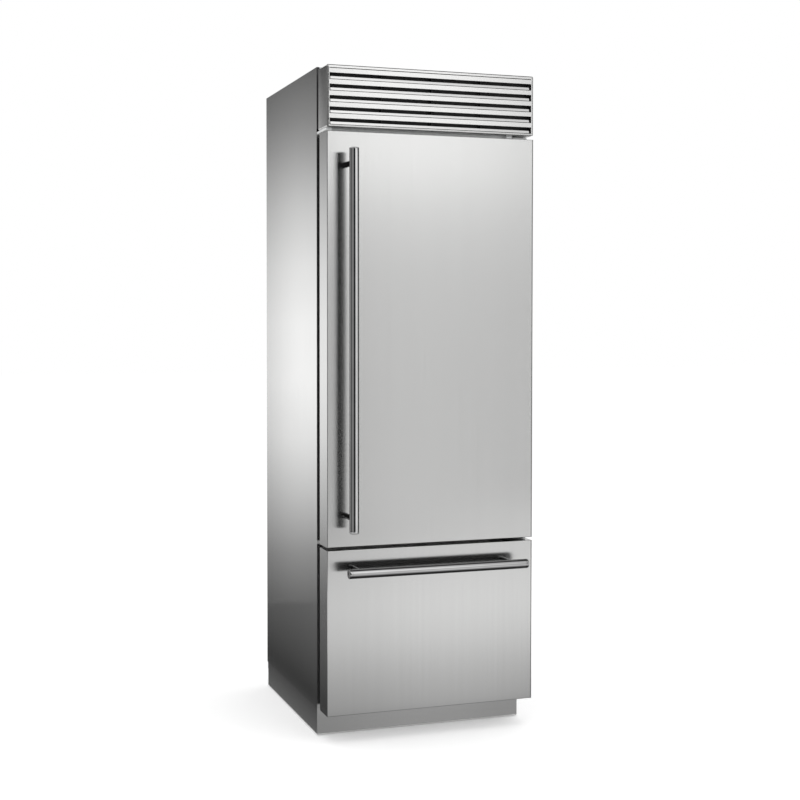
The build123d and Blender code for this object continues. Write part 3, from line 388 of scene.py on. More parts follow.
def lining_with_rim_shade(tree, colours):
    """White inner moulding of a front, with a dark rim of painted shade."""
    rim_shade = 0.030
    rim = abs(tree.along("X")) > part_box("door_liner")[1].x - rim_shade
    skin = tree.noise(160.0, 2.0)
    tree.surface({
        "Base Color": tree.blend(colours.liner, shade(colours.seal, 1.2), rim),
        "Roughness": 0.25 + 0.1 * skin + 0.2 * rim,
        "Normal": tree.bump(skin, 0.0002, 0.2),
    })


def seal_rubber(tree, colours):
    """Soft dark seal with a dusty bloom."""
    fine = tree.noise(420.0, 3.0)
    bloom = tree.noise(14.0, 3.0)
    tree.surface({
        "Base Color": tree.blend(shade(colours.seal, 0.8), shade(colours.seal, 1.5), bloom),
        "Roughness": 0.55 + 0.2 * fine,
        "Normal": tree.bump(fine, 0.0002, 0.2),
    })


def clear_moulding(tree, colours):
    """Clear plastic with slight flow marks."""
    flow = tree.noise(9.0, 3.0)
    tree.surface({
        "Base Color": tree.blend(colours.clear, shade(colours.clear, 0.95), flow),
        "Roughness": 0.04 + 0.05 * flow,
        "Transmission Weight": 0.92,
        "IOR": 1.3,
        "Normal": tree.bump(flow, 0.0006, 0.08),
    })


def shelf_glass(tree, colours):
    """Toughened glass with a faint wave."""
    wave = tree.noise(7.0, 2.0)
    tree.surface({
        "Base Color": tree.blend(colours.glass, shade(colours.glass, 0.97), wave),
        "Roughness": 0.01 + 0.02 * wave,
        "Transmission Weight": 1.0,
        "IOR": 1.45,
        "Normal": tree.bump(wave, 0.0004, 0.05),
    })


def painted(tree, colour, metallic, roughness):
    """Paint or bare metal with a slightly uneven skin."""
    skin = tree.noise(300.0, 3.0)
    cloud = tree.noise(12.0, 4.0)
    tree.surface({
        "Base Color": tree.blend(shade(colour, 0.85), shade(colour, 1.12), cloud),
        "Metallic": metallic,
        "Roughness": roughness - 0.06 + 0.1 * skin + 0.08 * cloud,
        "Normal": tree.bump(skin, 0.0002, 0.15),
    })


def black_paint(tree, colours):
    painted(tree, (0.018, 0.018, 0.019), 0.0, 0.32)


def bare_aluminium(tree, colours):
    painted(tree, (0.72, 0.73, 0.74), 1.0, 0.34)


def bare_copper(tree, colours):
    painted(tree, (0.72, 0.37, 0.22), 1.0, 0.28)


def bracket_paint(tree, colours):
    """Upper hinge bracket pale as light seen through its gap; the middle one black as painted shade of its
    gap, up to its pale outer end.
    """
    low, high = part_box("hinge_brackets")
    pale_end = 0.013
    gap_shade = (tree.along("Z") < (low.z + high.z) / 2) * (tree.along("X") < high.x - pale_end)
    skin = tree.noise(300.0, 3.0)
    tree.surface({
        "Base Color": tree.blend(colours.liner, (0.010, 0.010, 0.010), gap_shade),
        "Roughness": 0.3 + 0.1 * skin,
        "Normal": tree.bump(skin, 0.0002, 0.15),
    })


def foam(tree, colours):
    """Rigid foam with open cells."""
    cells = tree.node("ShaderNodeTexVoronoi", inputs={"Vector": tree.place(), "Scale": 900.0})
    cloud = tree.noise(15.0, 3.0)
    tree.surface({
        "Base Color": tree.blend((0.70, 0.58, 0.32), (0.82, 0.72, 0.46), cloud),
        "Roughness": 0.75 + 0.2 * cloud,
        "Normal": tree.bump(cells, 0.0005, 0.4),
    })


def filter_mesh(tree, colours):
    """Black filter cloth with a fine square weave, put behind the slats as painted shade."""
    density = 800.0
    across, upright = (abs((tree.along(axis) * density) % 2.0 - 1.0) for axis in "XZ")
    thread = across | upright
    tree.surface({
        "Base Color": tree.blend((0.010, 0.010, 0.010), (0.030, 0.030, 0.031), thread),
        "Roughness": 0.7 + 0.2 * thread,
        "Normal": tree.bump(thread, 0.0004, 0.4),
    })


def black_fascia(tree, colours):
    """Glossy black front of the control panel."""
    haze = tree.noise(30.0, 4.0)
    tree.surface({
        "Base Color": tree.blend((0.006, 0.006, 0.007), (0.012, 0.012, 0.014), haze),
        "Roughness": 0.05 + 0.08 * haze,
        "Coat Weight": 0.6,
    })


def opal_light(tree, colours):
    """Opal light cover with a slightly patchy glow."""
    patch = tree.noise(40.0, 2.0)
    tree.surface({
        "Base Color": tree.blend((0.86, 0.86, 0.83), (0.95, 0.95, 0.92), patch),
        "Roughness": 0.35 + 0.1 * patch,
        "Emission Color": tree.blend((0.94, 0.97, 1.0), (1.0, 1.0, 1.0), patch),
        "Emission Strength": 8.0,
    })


FINISHES = {made.__name__: made for made in (
    steel_front, steel_side, steel_level, louvre_steel, grille_steel, tube_upright, tube_level, galvanised,
    white_liner, white_moulding, dark_moulding, lining_with_rim_shade, seal_rubber, clear_moulding, shelf_glass,
    black_paint, bare_aluminium, bare_copper, bracket_paint, foam, filter_mesh, black_fascia, opal_light)}


def finish(name):
    """The named finish as a material, made at its first use."""
    material = bpy.data.materials.get(name)
    if material is None:
        material = bpy.data.materials.new(name)
        FINISHES[name](Tree(material), bpy.context.scene.fridge_colours)
    return material


# Which finish each carried-over node shows
NODE_FINISHES = {
    "steel_front": ("face_frame", "door_panel", "drawer_panel"),
    "steel_side": ("left_side_panel", "right_side_panel"),
    "steel_level": ("plinth",),
    "bracket_paint": ("hinge_brackets",),
    "louvre_steel": ("louvre_blades",),
    "galvanised": ("top_cover", "base_frame", "roller_brackets", "compressor_tray", "drawer_slides_fixed",
                   "drawer_slides_middle", "drawer_slides_inner"),
    "white_moulding": ("fridge_duct_panel", "freezer_duct_panel", "shelf_rails", "humidity_slider",
                       "hinge_bushes", "drawer_bin", "freezer_tray"),
    "clear_moulding": ("crisper_drawer",),
    "dark_moulding": ("condenser_fan_shroud", "condenser_fan_rotor", "control_box", "fan_motors",
                      "fridge_fan_rotor", "freezer_fan_rotor"),
    "bare_aluminium": ("condenser", "evaporator_coils"),
    "bare_copper": ("refrigerant_pipes",),
    "foam": ("insulation_foam", "door_foam", "drawer_foam"),
}


# Mesh helpers
CREASE = math.radians(38)  # folds sharper than this stay sharp in the shading
STRAIGHT = 0.9  # least cosine of a face that looks along an axis
MERGE = 1e-7  # points nearer than this are one


def box(bm, low, high):
    """Adds a box between two corners and gives its faces."""
    low, high = Vector(low), Vector(high)
    verts = bmesh.ops.create_cube(bm, size=1.0)["verts"]
    bmesh.ops.scale(bm, vec=high - low, verts=verts)
    bmesh.ops.translate(bm, vec=(low + high) / 2, verts=verts)
    return list({face for vert in verts for face in vert.link_faces})


def facing(faces, direction):
    """The face of a box that looks in a direction."""
    for face in faces:
        face.normal_update()
    return max(faces, key=lambda face: face.normal.dot(Vector(direction)))


def edges_of(faces):
    """The edges of some faces, each once."""
    return list({edge for face in faces for edge in face.edges})


def soften(bm, edges, radius, segments=3):
    """Rounds edges; the rounding alone is shaded smooth, so that flat faces stay flat."""
    made = bmesh.ops.bevel(bm, geom=edges, offset=radius, offset_type="OFFSET", segments=segments,
                           profile=0.5, affect="EDGES", clamp_overlap=True, material=-1)
    for face in made["faces"]:
        face.smooth = True


def rounded_box(bm, low, high, radius, segments=2):
    """Adds a box between two corners, with all its edges rounded."""
    soften(bm, edges_of(box(bm, low, high)), radius, segments)


def mirrored(profile, length):
    """The other end of a profile that is alike at both ends."""
    return [(radius, length - distance) for radius, distance in reversed(profile)]


def lathe(bm, profile, origin, axis, steps):
    """Turns a profile of (radius, distance) points about an axis through the origin point."""
    before = set(bm.verts)
    verts = [bm.verts.new((radius, 0.0, distance)) for radius, distance in profile]
    edges = [bm.edges.new(pair) for pair in zip(verts, verts[1:])]
    bmesh.ops.spin(bm, geom=verts + edges, cent=(0, 0, 0), axis=UP, dvec=(0, 0, 0), angle=math.tau,
                   steps=steps, use_merge=True, use_normal_flip=False, use_duplicate=False)
    turned = [vert for vert in bm.verts if vert not in before]
    bmesh.ops.remove_doubles(bm, verts=turned, dist=MERGE)
    turned = [vert for vert in bm.verts if vert not in before]
    turn = UP.rotation_difference(Vector(axis)).to_matrix().to_4x4()
    bmesh.ops.transform(bm, matrix=Matrix.Translation(origin) @ turn, verts=turned)
    for face in {face for vert in turned for face in vert.link_faces}:
        face.smooth = True


def tub(bm, low, high, opening, radius, wall):
    """A thin-walled box with one open side and rounded corners; its outside fills the two corners."""
    faces = box(bm, low, high)
    bmesh.ops.delete(bm, geom=[facing(faces, opening)], context="FACES_ONLY")
    soften(bm, [edge for edge in bm.edges if not edge.is_boundary], radius, 4)
    bmesh.ops.recalc_face_normals(bm, faces=bm.faces)
    bmesh.ops.solidify(bm, geom=bm.faces[:], thickness=wall)


def cut(bm, direction, point, normal):
    """Cuts the faces that look in a direction along a plane."""
    faces = [face for face in bm.faces if face.normal.dot(Vector(direction)) > STRAIGHT]
    verts = list({vert for face in faces for vert in face.verts})
    bmesh.ops.bisect_plane(bm, geom=verts + edges_of(faces) + faces, dist=MERGE, plane_co=point,
                           plane_no=normal)
    bm.normal_update()


def in_scene(name, data):
    """A new object of some data, linked to the scene."""
    made = bpy.data.objects.new(name, data)
    bpy.context.scene.collection.objects.link(made)
    return made


def piece(bm, name, body, material, replaces=()):
    """Makes an object of a mesh that rides on a body and stands for some nodes."""
    bmesh.ops.recalc_face_normals(bm, faces=bm.faces)
    mesh = bpy.data.meshes.new(name)
    bm.to_mesh(mesh)
    bm.free()
    mesh.set_sharp_from_angle(angle=CREASE)
    mesh.materials.append(finish(material))
    made = in_scene(name, mesh)
    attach(made, body)
    if replaces:
        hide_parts(*replaces)


# Pieces
class FRIDGE_OT_node_finishes(bpy.types.Operator):
    """Gives each carried-over node its finish"""
    bl_idname = "fridge.node_finishes"
    bl_label = "Node finishes"

    def execute(self, context):
        for name, nodes in NODE_FINISHES.items():
            for node in nodes:
                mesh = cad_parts[node].data
                mesh.materials.clear()
                mesh.materials.append(finish(name))
        return {"FINISHED"}


class FRIDGE_OT_handles(bpy.types.Operator):
    """Makes the tubular handles with dished end caps, joint lines and posts"""
    bl_idname = "fridge.handles"
    bl_label = "Handles"

    def execute(self, context):
        for front, body, axis, material in (("door", "fridge_door", UP, "tube_upright"),
                                            ("drawer", "freezer_drawer", RIGHT, "tube_level")):
            self.handle(context.scene.fridge_sizes, front, body, axis, material)
        return {"FINISHED"}

    def handle(self, sizes, front, body, axis, material):
        low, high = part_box(f"{front}_handle_fittings")
        middle = centre(f"{front}_handle_bar")
        length = (high - low).dot(axis)
        start = middle - axis * length / 2
        radius = sizes.handle_radius
        cap = sizes.handle_cap
        dish_radius, dish_depth = 0.0060, 0.006
        joint, sunk = 0.0009, 0.0011
        end = [(0.0, dish_depth), (dish_radius, dish_depth), (0.0066, 0.0008), (0.0073, 0.0),
               (radius - 0.0040, 0.0), (radius - 0.0024, 0.0004), (radius - 0.0011, 0.0012),
               (radius - 0.0003, 0.0025), (radius, 0.0041),
               (radius, cap - joint), (radius - sunk, cap - joint), (radius - sunk, cap + joint),
               (radius, cap + joint)]
        bm = bmesh.new()
        lathe(bm, end + mirrored(end, length), start, axis, 72)
        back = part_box(f"{front}_panel")[0].y
        post = sizes.post_radius
        depth = back - middle.y
        neck = post - 0.0006
        profile = [(0.0, radius / 2), (post, radius / 2), (post, depth - 0.0012), (neck, depth - 0.0005),
                   (neck, depth), (0.0, depth)]
        for along in (sizes.post_inset, length - sizes.post_inset):
            lathe(bm, profile, start + axis * along, BACK, 36)
        piece(bm, f"{front}_handle", body, material,
              (f"{front}_handle_bar", f"{front}_handle_fittings"))


class FRIDGE_OT_seals(bpy.types.Operator):
    """Makes the folded soft seals of the door and the drawer"""
    bl_idname = "fridge.seals"
    bl_label = "Seals"
    foot = 0.001
    # Inset and rise of each fold in turn
    folds = ((0.0006, 0.0075), (0.0014, 0.0045), (0.0040, 0.0042), (0.0050, 0.0),
             (0.0030, -0.0036), (0.0014, -0.0030), (0.0034, 0.0010), (0.0012, -0.0106))

    def execute(self, context):
        for front, body in FRONTS:
            low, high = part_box(f"{front}_gasket")
            bm = bmesh.new()
            faces = box(bm, low, (high.x, low.y + self.foot, high.z))
            crest = facing(faces, BACK)
            for edge, rise in self.folds:
                bmesh.ops.inset_region(bm, faces=[crest], thickness=edge, depth=rise, use_even_offset=True)
            bottom = facing(faces, FRONT)
            bmesh.ops.delete(bm, geom=[crest, bottom], context="FACES_ONLY")
            bmesh.ops.bridge_loops(bm, edges=[edge for edge in bm.edges if edge.is_boundary])
            piece(bm, f"{front}_seal", body, "seal_rubber", (f"{front}_gasket",))
        return {"FINISHED"}


class FRIDGE_OT_liners(bpy.types.Operator):
    """Makes the rounded liners of both compartments"""
    bl_idname = "fridge.liners"
    bl_label = "Compartment liners"

    def execute(self, context):
        sizes = context.scene.fridge_sizes
        for name in ("fridge", "freezer"):
            low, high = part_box(f"{name}_liner")
            bm = bmesh.new()
            tub(bm, low, high, FRONT, sizes.liner_radius, sizes.liner_wall)
            piece(bm, f"{name}_room", "cabinet", "white_liner", (f"{name}_liner",))
        return {"FINISHED"}


class FRIDGE_OT_front_linings(bpy.types.Operator):
    """Makes the inner mouldings of the door and the drawer front"""
    bl_idname = "fridge.front_linings"
    bl_label = "Front linings"

    def execute(self, context):
        for front, body in FRONTS:
            self.lining(context.scene.fridge_sizes, front, body)
        return {"FINISHED"}

    def lining(self, sizes, front, body):
        low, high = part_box(f"{front}_liner")
        room = frame_room(front)
        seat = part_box(f"{front}_gasket")[0].y
        lap = 0.001
        bm = bmesh.new()
        soften(bm, edges_of([facing(box(bm, low, (high.x, seat, high.z)), BACK)]), 0.003)
        faces = box(bm, (room[0].x, seat - lap, room[0].z), (room[1].x, high.y, room[1].z))
        crest = facing(faces, BACK)
        edges = edges_of([crest])
        if front == "door":
            rim = bmesh.ops.inset_region(bm, faces=[crest], thickness=sizes.dyke_wall, depth=0.0)["faces"]
            made = bmesh.ops.extrude_discrete_faces(bm, faces=[crest])["faces"]
            bmesh.ops.translate(bm, vec=(0, seat + lap - high.y, 0), verts=made[0].verts)
            edges = edges_of(rim)
        soften(bm, edges, 0.004)
        piece(bm, f"{front}_lining", body, "lining_with_rim_shade", (f"{front}_liner",))


def frame_room(front):
    """Limits of the raised part of a front's lining, across and upright, in its compartment."""
    low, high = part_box({"door": "fridge_liner", "drawer": "freezer_liner"}[front])
    gap = Vector((0.0165, 0.0, 0.0165))
    return low + gap, high - gap


class FRIDGE_OT_shelves(bpy.types.Operator):
    """Makes the glass shelves with polished edges and their steel front strips"""
    bl_idname = "fridge.shelves"
    bl_label = "Shelves"

    def execute(self, context):
        strips = bmesh.new()
        depth, height = 0.010, 0.014
        for node in ("crisper_cover", "shelf_1", "shelf_2", "shelf_3"):
            low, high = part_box(node)
            bm = bmesh.new()
            rounded_box(bm, low, high, 0.0012)
            piece(bm, f"{node}_glass", "cabinet", "shelf_glass", (node,))
            rounded_box(strips, (low.x, low.y - depth, high.z - height), (high.x, low.y, high.z), 0.0018, 3)
        piece(strips, "shelf_strips", "cabinet", "steel_level", ("shelf_trims",))
        return {"FINISHED"}


class FRIDGE_OT_bins(bpy.types.Operator):
    """Makes the door bins"""
    bl_idname = "fridge.bins"
    bl_label = "Door bins"

    def execute(self, context):
        sizes = context.scene.fridge_sizes
        for number in (1, 2, 3):
            node = f"door_bin_{number}"
            low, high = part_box(node)
            bm = bmesh.new()
            tub(bm, low, high, UP, sizes.bin_radius, sizes.bin_wall)
            piece(bm, f"bin_{number}", "fridge_door", "clear_moulding", (node,))
        return {"FINISHED"}


class FRIDGE_OT_lights(bpy.types.Operator):
    """Makes the light strips and the control panel"""
    bl_idname = "fridge.lights"
    bl_label = "Lights and controls"

    def execute(self, context):
        low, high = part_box("light_strips")
        bm = bmesh.new()
        cover = 0.003
        for left, right in ((low.x, low.x + cover), (high.x - cover, high.x)):
            rounded_box(bm, (left, low.y, low.z), (right, high.y, high.z), 0.0012, 3)
        piece(bm, "light_covers", "cabinet", "opal_light", ("light_strips",))
        low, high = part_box("control_panel")
        bm = bmesh.new()
        faces = box(bm, low, high)
        front = facing(faces, FRONT)
        nose = [edge for edge in front.edges if all(vert.co.z < (low.z + high.z) / 2 for vert in edge.verts)]
        soften(bm, nose, 0.016, 1)
        soften(bm, [edge for edge in bm.edges if edge.calc_face_angle(0) > 0.5], 0.0015, 3)
        piece(bm, "control_fascia", "cabinet", "black_fascia", ("control_panel",))
        bm = bmesh.new()
        lamp = [(0.0, 0.0), (0.0024, 0.0), (0.0030, 0.0005), (0.0030, 0.0012), (0.0, 0.0012)]
        pitch = 0.045
        for step in range(-2, 3):
            lathe(bm, lamp, (step * pitch, low.y + 0.0006, high.z - 0.010), FRONT, 20)
        piece(bm, "control_marks", "cabinet", "opal_light")
        return {"FINISHED"}


class FRIDGE_OT_grille(bpy.types.Operator):
    """Makes the folded face of the grille with its windows, and the black dust filter behind the slats that
    stands as shade in them
    """
    bl_idname = "fridge.grille"
    bl_label = "Grille"

    def execute(self, context):
        sizes = context.scene.fridge_sizes
        low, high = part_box("grille_frame")
        bm = bmesh.new()
        faces = box(bm, low, high)
        bm.normal_update()
        hood = low.y + 0.060
        cut(bm, UP, (0, hood, 0), BACK)
        rear_top = [face for face in bm.faces
                    if face.normal.z > STRAIGHT and face.calc_center_median().y > hood]
        bmesh.ops.delete(bm, geom=[facing(faces, BACK), *rear_top], context="FACES")
        self.windows(bm, sizes, low, high)
        folds = [edge for edge in bm.edges if edge.calc_face_angle(0.0) > 1.0]
        soften(bm, folds, sizes.grille_bend, 4)
        bmesh.ops.recalc_face_normals(bm, faces=bm.faces)
        bmesh.ops.solidify(bm, geom=bm.faces[:], thickness=sizes.grille_sheet)
        pivot = Vector((high.x - sizes.grille_sheet, high.y - 0.012, high.z - sizes.grille_sheet - 0.016))
        boss = [(0.0041, 0.0), (0.009, 0.0), (0.009, 0.008), (0.0041, 0.008), (0.0041, 0.0)]
        for side in (-1, 1):
            lathe(bm, boss, (side * pivot.x, pivot.y, pivot.z), (-side, 0, 0), 32)
        piece(bm, "grille_skin", "grille", "grille_steel", ("grille_frame",))
        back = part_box("louvre_blades")[1].y
        rim = sizes.grille_sheet + 0.002
        bm = bmesh.new()
        pad = 0.003
        rounded_box(bm, (low.x + rim, back, low.z + rim), (high.x - rim, back + pad, high.z - rim), 0.0008)
        piece(bm, "dust_filter_shade", "grille", "filter_mesh")
        return {"FINISHED"}

    def windows(self, bm, sizes, low, high):
        """Opens the windows and the dark line near the top."""
        wide = high.x - sizes.grille_stile
        tops = [high.z - sizes.louvre_drop - k * sizes.louvre_pitch for k in range(sizes.louvre_count)]
        spans = [(top - sizes.louvre_window, top) for top in tops]
        line = high.z - sizes.line_drop
        spans.append((line - sizes.louvre_line, line))
        for side in (-1, 1):
            cut(bm, FRONT, (side * wide, low.y, 0), RIGHT)
        for span in spans:
            for level in span:
                cut(bm, FRONT, (0, low.y, level), UP)
        openings = []
        for face in bm.faces:
            middle = face.calc_center_median()
            inside = any(bottom < middle.z < top for bottom, top in spans)
            if face.normal.y < -STRAIGHT and abs(middle.x) < wide and inside:
                openings.append(face)
        bmesh.ops.delete(bm, geom=openings, context="FACES_ONLY")


class FRIDGE_OT_gap_strip(bpy.types.Operator):
    """Makes the pale strip round the grille's underside and the ledge that it closes against"""
    bl_idname = "fridge.gap_strip"
    bl_label = "Gap strip"

    def execute(self, context):
        low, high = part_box("grille_frame")
        wide = 0.020
        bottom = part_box("door_panel")[1].z + 0.003
        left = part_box("left_side_panel")[0].x + 0.0015
        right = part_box("hinge_brackets")[0].x - 0.0015
        front = low.y + 0.020
        bar = front + 0.012
        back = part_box("left_side_panel")[0].y
        strip = [((left, front), (left + wide, high.y)), ((right - wide, front), (right, high.y)),
                 ((left + wide, bar), (right - wide, bar + wide))]
        ledge = [((left, high.y + 0.001), (right, back))]
        for name, body, parts, top in (("gap_strip", "grille", strip, low.z),
                                       ("gap_ledge", "cabinet", ledge, low.z - 0.002)):
            bm = bmesh.new()
            for first, last in parts:
                rounded_box(bm, (*first, bottom), (*last, top), 0.001)
            piece(bm, name, body, "white_moulding")
        return {"FINISHED"}


class FRIDGE_OT_bay_shade_strips(bpy.types.Operator):
    """Makes the black foam strips on the cabinet's front edges behind the grille, put as painted shade in the
    gaps there
    """
    bl_idname = "fridge.bay_strips"
    bl_label = "Machine bay strips"

    def execute(self, context):
        bm = bmesh.new()
        wide, thick = 0.008, 0.003
        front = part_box("left_side_panel")[0].y
        low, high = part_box("face_frame")[1].z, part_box("top_cover")[1].z
        for left in (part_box("left_side_panel")[0].x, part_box("right_side_panel")[1].x - wide):
            rounded_box(bm, (left, front - thick, low), (left + wide, front, high), 0.0008)
        piece(bm, "bay_strips", "cabinet", "seal_rubber")
        return {"FINISHED"}


class FRIDGE_OT_back_sheet(bpy.types.Operator):
    """Makes the back sheet with its pressed fields, and the mains inlet"""
    bl_idname = "fridge.back_sheet"
    bl_label = "Back sheet"
    fields = [((-0.27, bottom), (0.27, bottom + 0.52)) for bottom in (0.16, 0.74, 1.32)]
    mouth = ((0.203, 1.965), (0.253, 1.995))
    sheet = 0.0015
    slope, press = 0.0016, 0.0011
    pin_pitch = 0.012

    def execute(self, context):
        low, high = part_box("back_panel")
        bm = bmesh.new()
        box(bm, (low.x, high.y - self.sheet, low.z), high)
        bm.normal_update()
        for look in (-1, 1):
            self.outline(bm, look, self.mouth)
        for field in self.fields:
            self.outline(bm, 1, field)
        bmesh.ops.delete(bm, geom=self.within(bm, self.mouth), context="FACES")
        bmesh.ops.bridge_loops(bm, edges=[edge for edge in bm.edges if edge.is_boundary])
        for field in self.fields:
            pressed = [face for face in self.within(bm, field) if face.normal.y > STRAIGHT]
            bmesh.ops.inset_region(bm, faces=pressed, thickness=self.slope, depth=-self.press,
                                   use_boundary=True, use_even_offset=True)
        piece(bm, "back_sheet", "cabinet", "galvanised", ("back_panel",))
        self.inlet(low.y, high.y)
        return {"FINISHED"}

    def outline(self, bm, look, rectangle):
        """Cuts the sheet's face along the sides of a rectangle."""
        for x, z in rectangle:
            cut(bm, (0, look, 0), (x, 0, 0), RIGHT)
            cut(bm, (0, look, 0), (0, 0, z), UP)

    def within(self, bm, rectangle):
        """The faces, front and back, whose middle lies in a rectangle."""
        (left, bottom), (right, top) = rectangle
        found = []
        for face in bm.faces:
            middle = face.calc_center_median()
            if abs(face.normal.y) > STRAIGHT and left < middle.x < right and bottom < middle.z < top:
                found.append(face)
        return found

    def inlet(self, front, back):
        """Cup and pins of the mains inlet."""
        (left, bottom), (right, top) = self.mouth
        bm = bmesh.new()
        tub(bm, (left, front, bottom), (right, back, top), BACK, 0.001, self.sheet)
        piece(bm, "mains_inlet", "cabinet", "dark_moulding")
        bm = bmesh.new()
        for step in (-1, 0, 1):
            across = (left + right) / 2 + step * self.pin_pitch
            foot = Vector((across, front + self.sheet, (bottom + top) / 2))
            rounded_box(bm, foot - Vector((0.001, 0.0, 0.003)), foot + Vector((0.001, 0.014, 0.003)), 0.0004)
        piece(bm, "inlet_pins", "cabinet", "bare_aluminium")


class FRIDGE_OT_machine(bpy.types.Operator):
    """Makes the compressor pot on its mounts"""
    bl_idname = "fridge.machine"
    bl_label = "Compressor"
    mount = ((0.0, 0.0), (0.011, 0.0), (0.011, 0.004), (0.0085, 0.006), (0.0085, 0.008),
             (0.011, 0.010), (0.011, 0.014), (0.0, 0.014))

    def execute(self, context):
        low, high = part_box("compressor")
        middle = (low + high) / 2
        plate = low.z + self.mount[-1][1]
        reach, sheet = 0.055, 0.005
        radius = (high.y - low.y) / 2
        tall = high.z - plate
        bm = bmesh.new()
        rounded_box(bm, (low.x, middle.y - reach, plate), (high.x, middle.y + reach, plate + sheet), 0.0015)
        weld = 0.55 * tall
        wall = radius - 0.003
        profile = [(0.0, 0.004), (radius - 0.016, 0.004), (radius - 0.006, 0.012), (wall, 0.022),
                   (wall, weld - 0.004), (radius, weld - 0.003), (radius, weld + 0.003),
                   (wall, weld + 0.004), (wall, tall - 0.028), (radius - 0.006, tall - 0.016),
                   (radius - 0.014, tall - 0.007), (radius - 0.028, tall - 0.002), (0.0, tall)]
        lathe(bm, profile, (middle.x, middle.y, plate), UP, 64)
        across, deep = 0.069, 0.039
        for x in (middle.x - across, middle.x + across):
            for y in (middle.y - deep, middle.y + deep):
                lathe(bm, self.mount, (x, y, low.z), UP, 24)
        piece(bm, "compressor_pot", "cabinet", "black_paint", ("compressor",))
        return {"FINISHED"}


class FRIDGE_OT_feet(bpy.types.Operator):
    """Makes the levelling feet and the rear rollers"""
    bl_idname = "fridge.feet"
    bl_label = "Feet and rollers"

    def execute(self, context):
        low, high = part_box("levelling_feet")
        pad = (high.y - low.y) / 2
        bm = bmesh.new()
        profile = [(0.0, 0.0), (pad - 0.002, 0.0), (pad, 0.002), (pad, 0.009), (pad - 0.003, 0.012),
                   (0.008, 0.012), (0.006, 0.014), (0.006, high.z - 0.001), (0.005, high.z), (0.0, high.z)]
        for x in (low.x + pad, high.x - pad):
            lathe(bm, profile, (x, (low.y + high.y) / 2, 0.0), UP, 40)
        piece(bm, "feet", "cabinet", "dark_moulding", ("levelling_feet",))
        low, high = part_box("rear_rollers")
        radius = (high.z - low.z) / 2
        wide = 0.024
        bm = bmesh.new()
        profile = [(0.0052, 0.0), (radius - 0.006, 0.0), (radius - 0.005, 0.002), (radius - 0.002, 0.002),
                   (radius, 0.004), (radius, 0.010), (radius - 0.0012, 0.011)]
        profile += mirrored(profile, wide) + profile[:1]
        middle = (low + high) / 2
        for x in (low.x, high.x - wide):
            lathe(bm, profile, (x, middle.y, middle.z), RIGHT, 40)
        piece(bm, "rollers_turned", "rollers", "dark_moulding", ("rear_rollers",))
        return {"FINISHED"}


# Stage
def stage_sheet(name, middle, size, facing_to, shader):
    """A flat sheet of the studio that looks in a direction; shader gives its surface."""
    bm = bmesh.new()
    bmesh.ops.create_grid(bm, x_segments=1, y_segments=1, size=0.5)
    bmesh.ops.scale(bm, vec=(*size, 1.0), verts=bm.verts)
    turn = Vector(facing_to).to_track_quat("Z", "Y").to_matrix().to_4x4()
    bmesh.ops.transform(bm, matrix=Matrix.Translation(middle) @ turn, verts=bm.verts)
    mesh = bpy.data.meshes.new(name)
    bm.to_mesh(mesh)
    bm.free()
    material = bpy.data.materials.new(name)
    tree = Tree(material)
    tree.node("ShaderNodeOutputMaterial", inputs={"Surface": shader(tree)})
    mesh.materials.append(material)
    made = in_scene(name, mesh)
    return made


def reflection_only(card):
    """Leaves a studio card to show in reflections alone."""
    for ray in ("camera", "diffuse", "transmission", "volume_scatter", "shadow"):
        setattr(card, f"visible_{ray}", False)


def soft_lamp(name, place, target, size, radiance):
    """A rectangular soft lamp of an even radiance, unseen by the camera and in the metal."""
    lamp = bpy.data.lights.new(name, "AREA")
    lamp.shape = "RECTANGLE"
    lamp.size, lamp.size_y = size
    lamp.energy = radiance * math.pi * size[0] * size[1]
    made = in_scene(name, lamp)
    made.location = place
    made.rotation_euler = (Vector(target) - Vector(place)).to_track_quat("-Z", "Y").to_euler()
    made.visible_camera = False
    made.visible_glossy = False


def floor_paint(tree):
    """Pale matt floor that runs into the white background and still holds a shadow."""
    speck = tree.noise(3.0, 3.0)
    colour = tree.blend((0.88, 0.88, 0.88), (0.90, 0.90, 0.90), speck)
    matt = tree.node("ShaderNodeBsdfDiffuse", inputs={"Color": colour})
    glow = tree.node("ShaderNodeEmission", inputs={"Strength": 0.30 * background_rays(tree)})
    return tree.node("ShaderNodeAddShader", inputs={0: matt, 1: glow})


def background_rays(tree):
    """One for rays that see the background: from the camera, in metal or through glass."""
    camera, metal, glass = (tree.node("ShaderNodeLightPath", output=f"Is {kind} Ray")
                            for kind in ("Camera", "Glossy", "Transmission"))
    return camera | metal | glass


def graded(axis, stops, across=None, steep=None):
    """Paint of a studio card whose glow changes along an axis, and across it by a second ramp.

    With steep, the glow falls to that share where the card is seen from well above its plane.
    """
    peak = max(level for place, level in stops)

    def paint(tree):
        glow = tree.ramp(axis, [(place, level / peak) for place, level in stops])
        if across:
            glow = tree.blend(glow, tree.ramp(*across), 1.0, "MULTIPLY")
        if steep:
            slant = tree.node("ShaderNodeLayerWeight", inputs={"Blend": 0.5}, output="Facing")
            share = tree.node("ShaderNodeValToRGB", {"stops": [(0.16, steep), (0.38, 1.0)]}, {0: slant})
            glow = tree.blend(glow, share, 1.0, "MULTIPLY")
        return tree.node("ShaderNodeEmission", inputs={"Color": glow, "Strength": peak})
    return paint


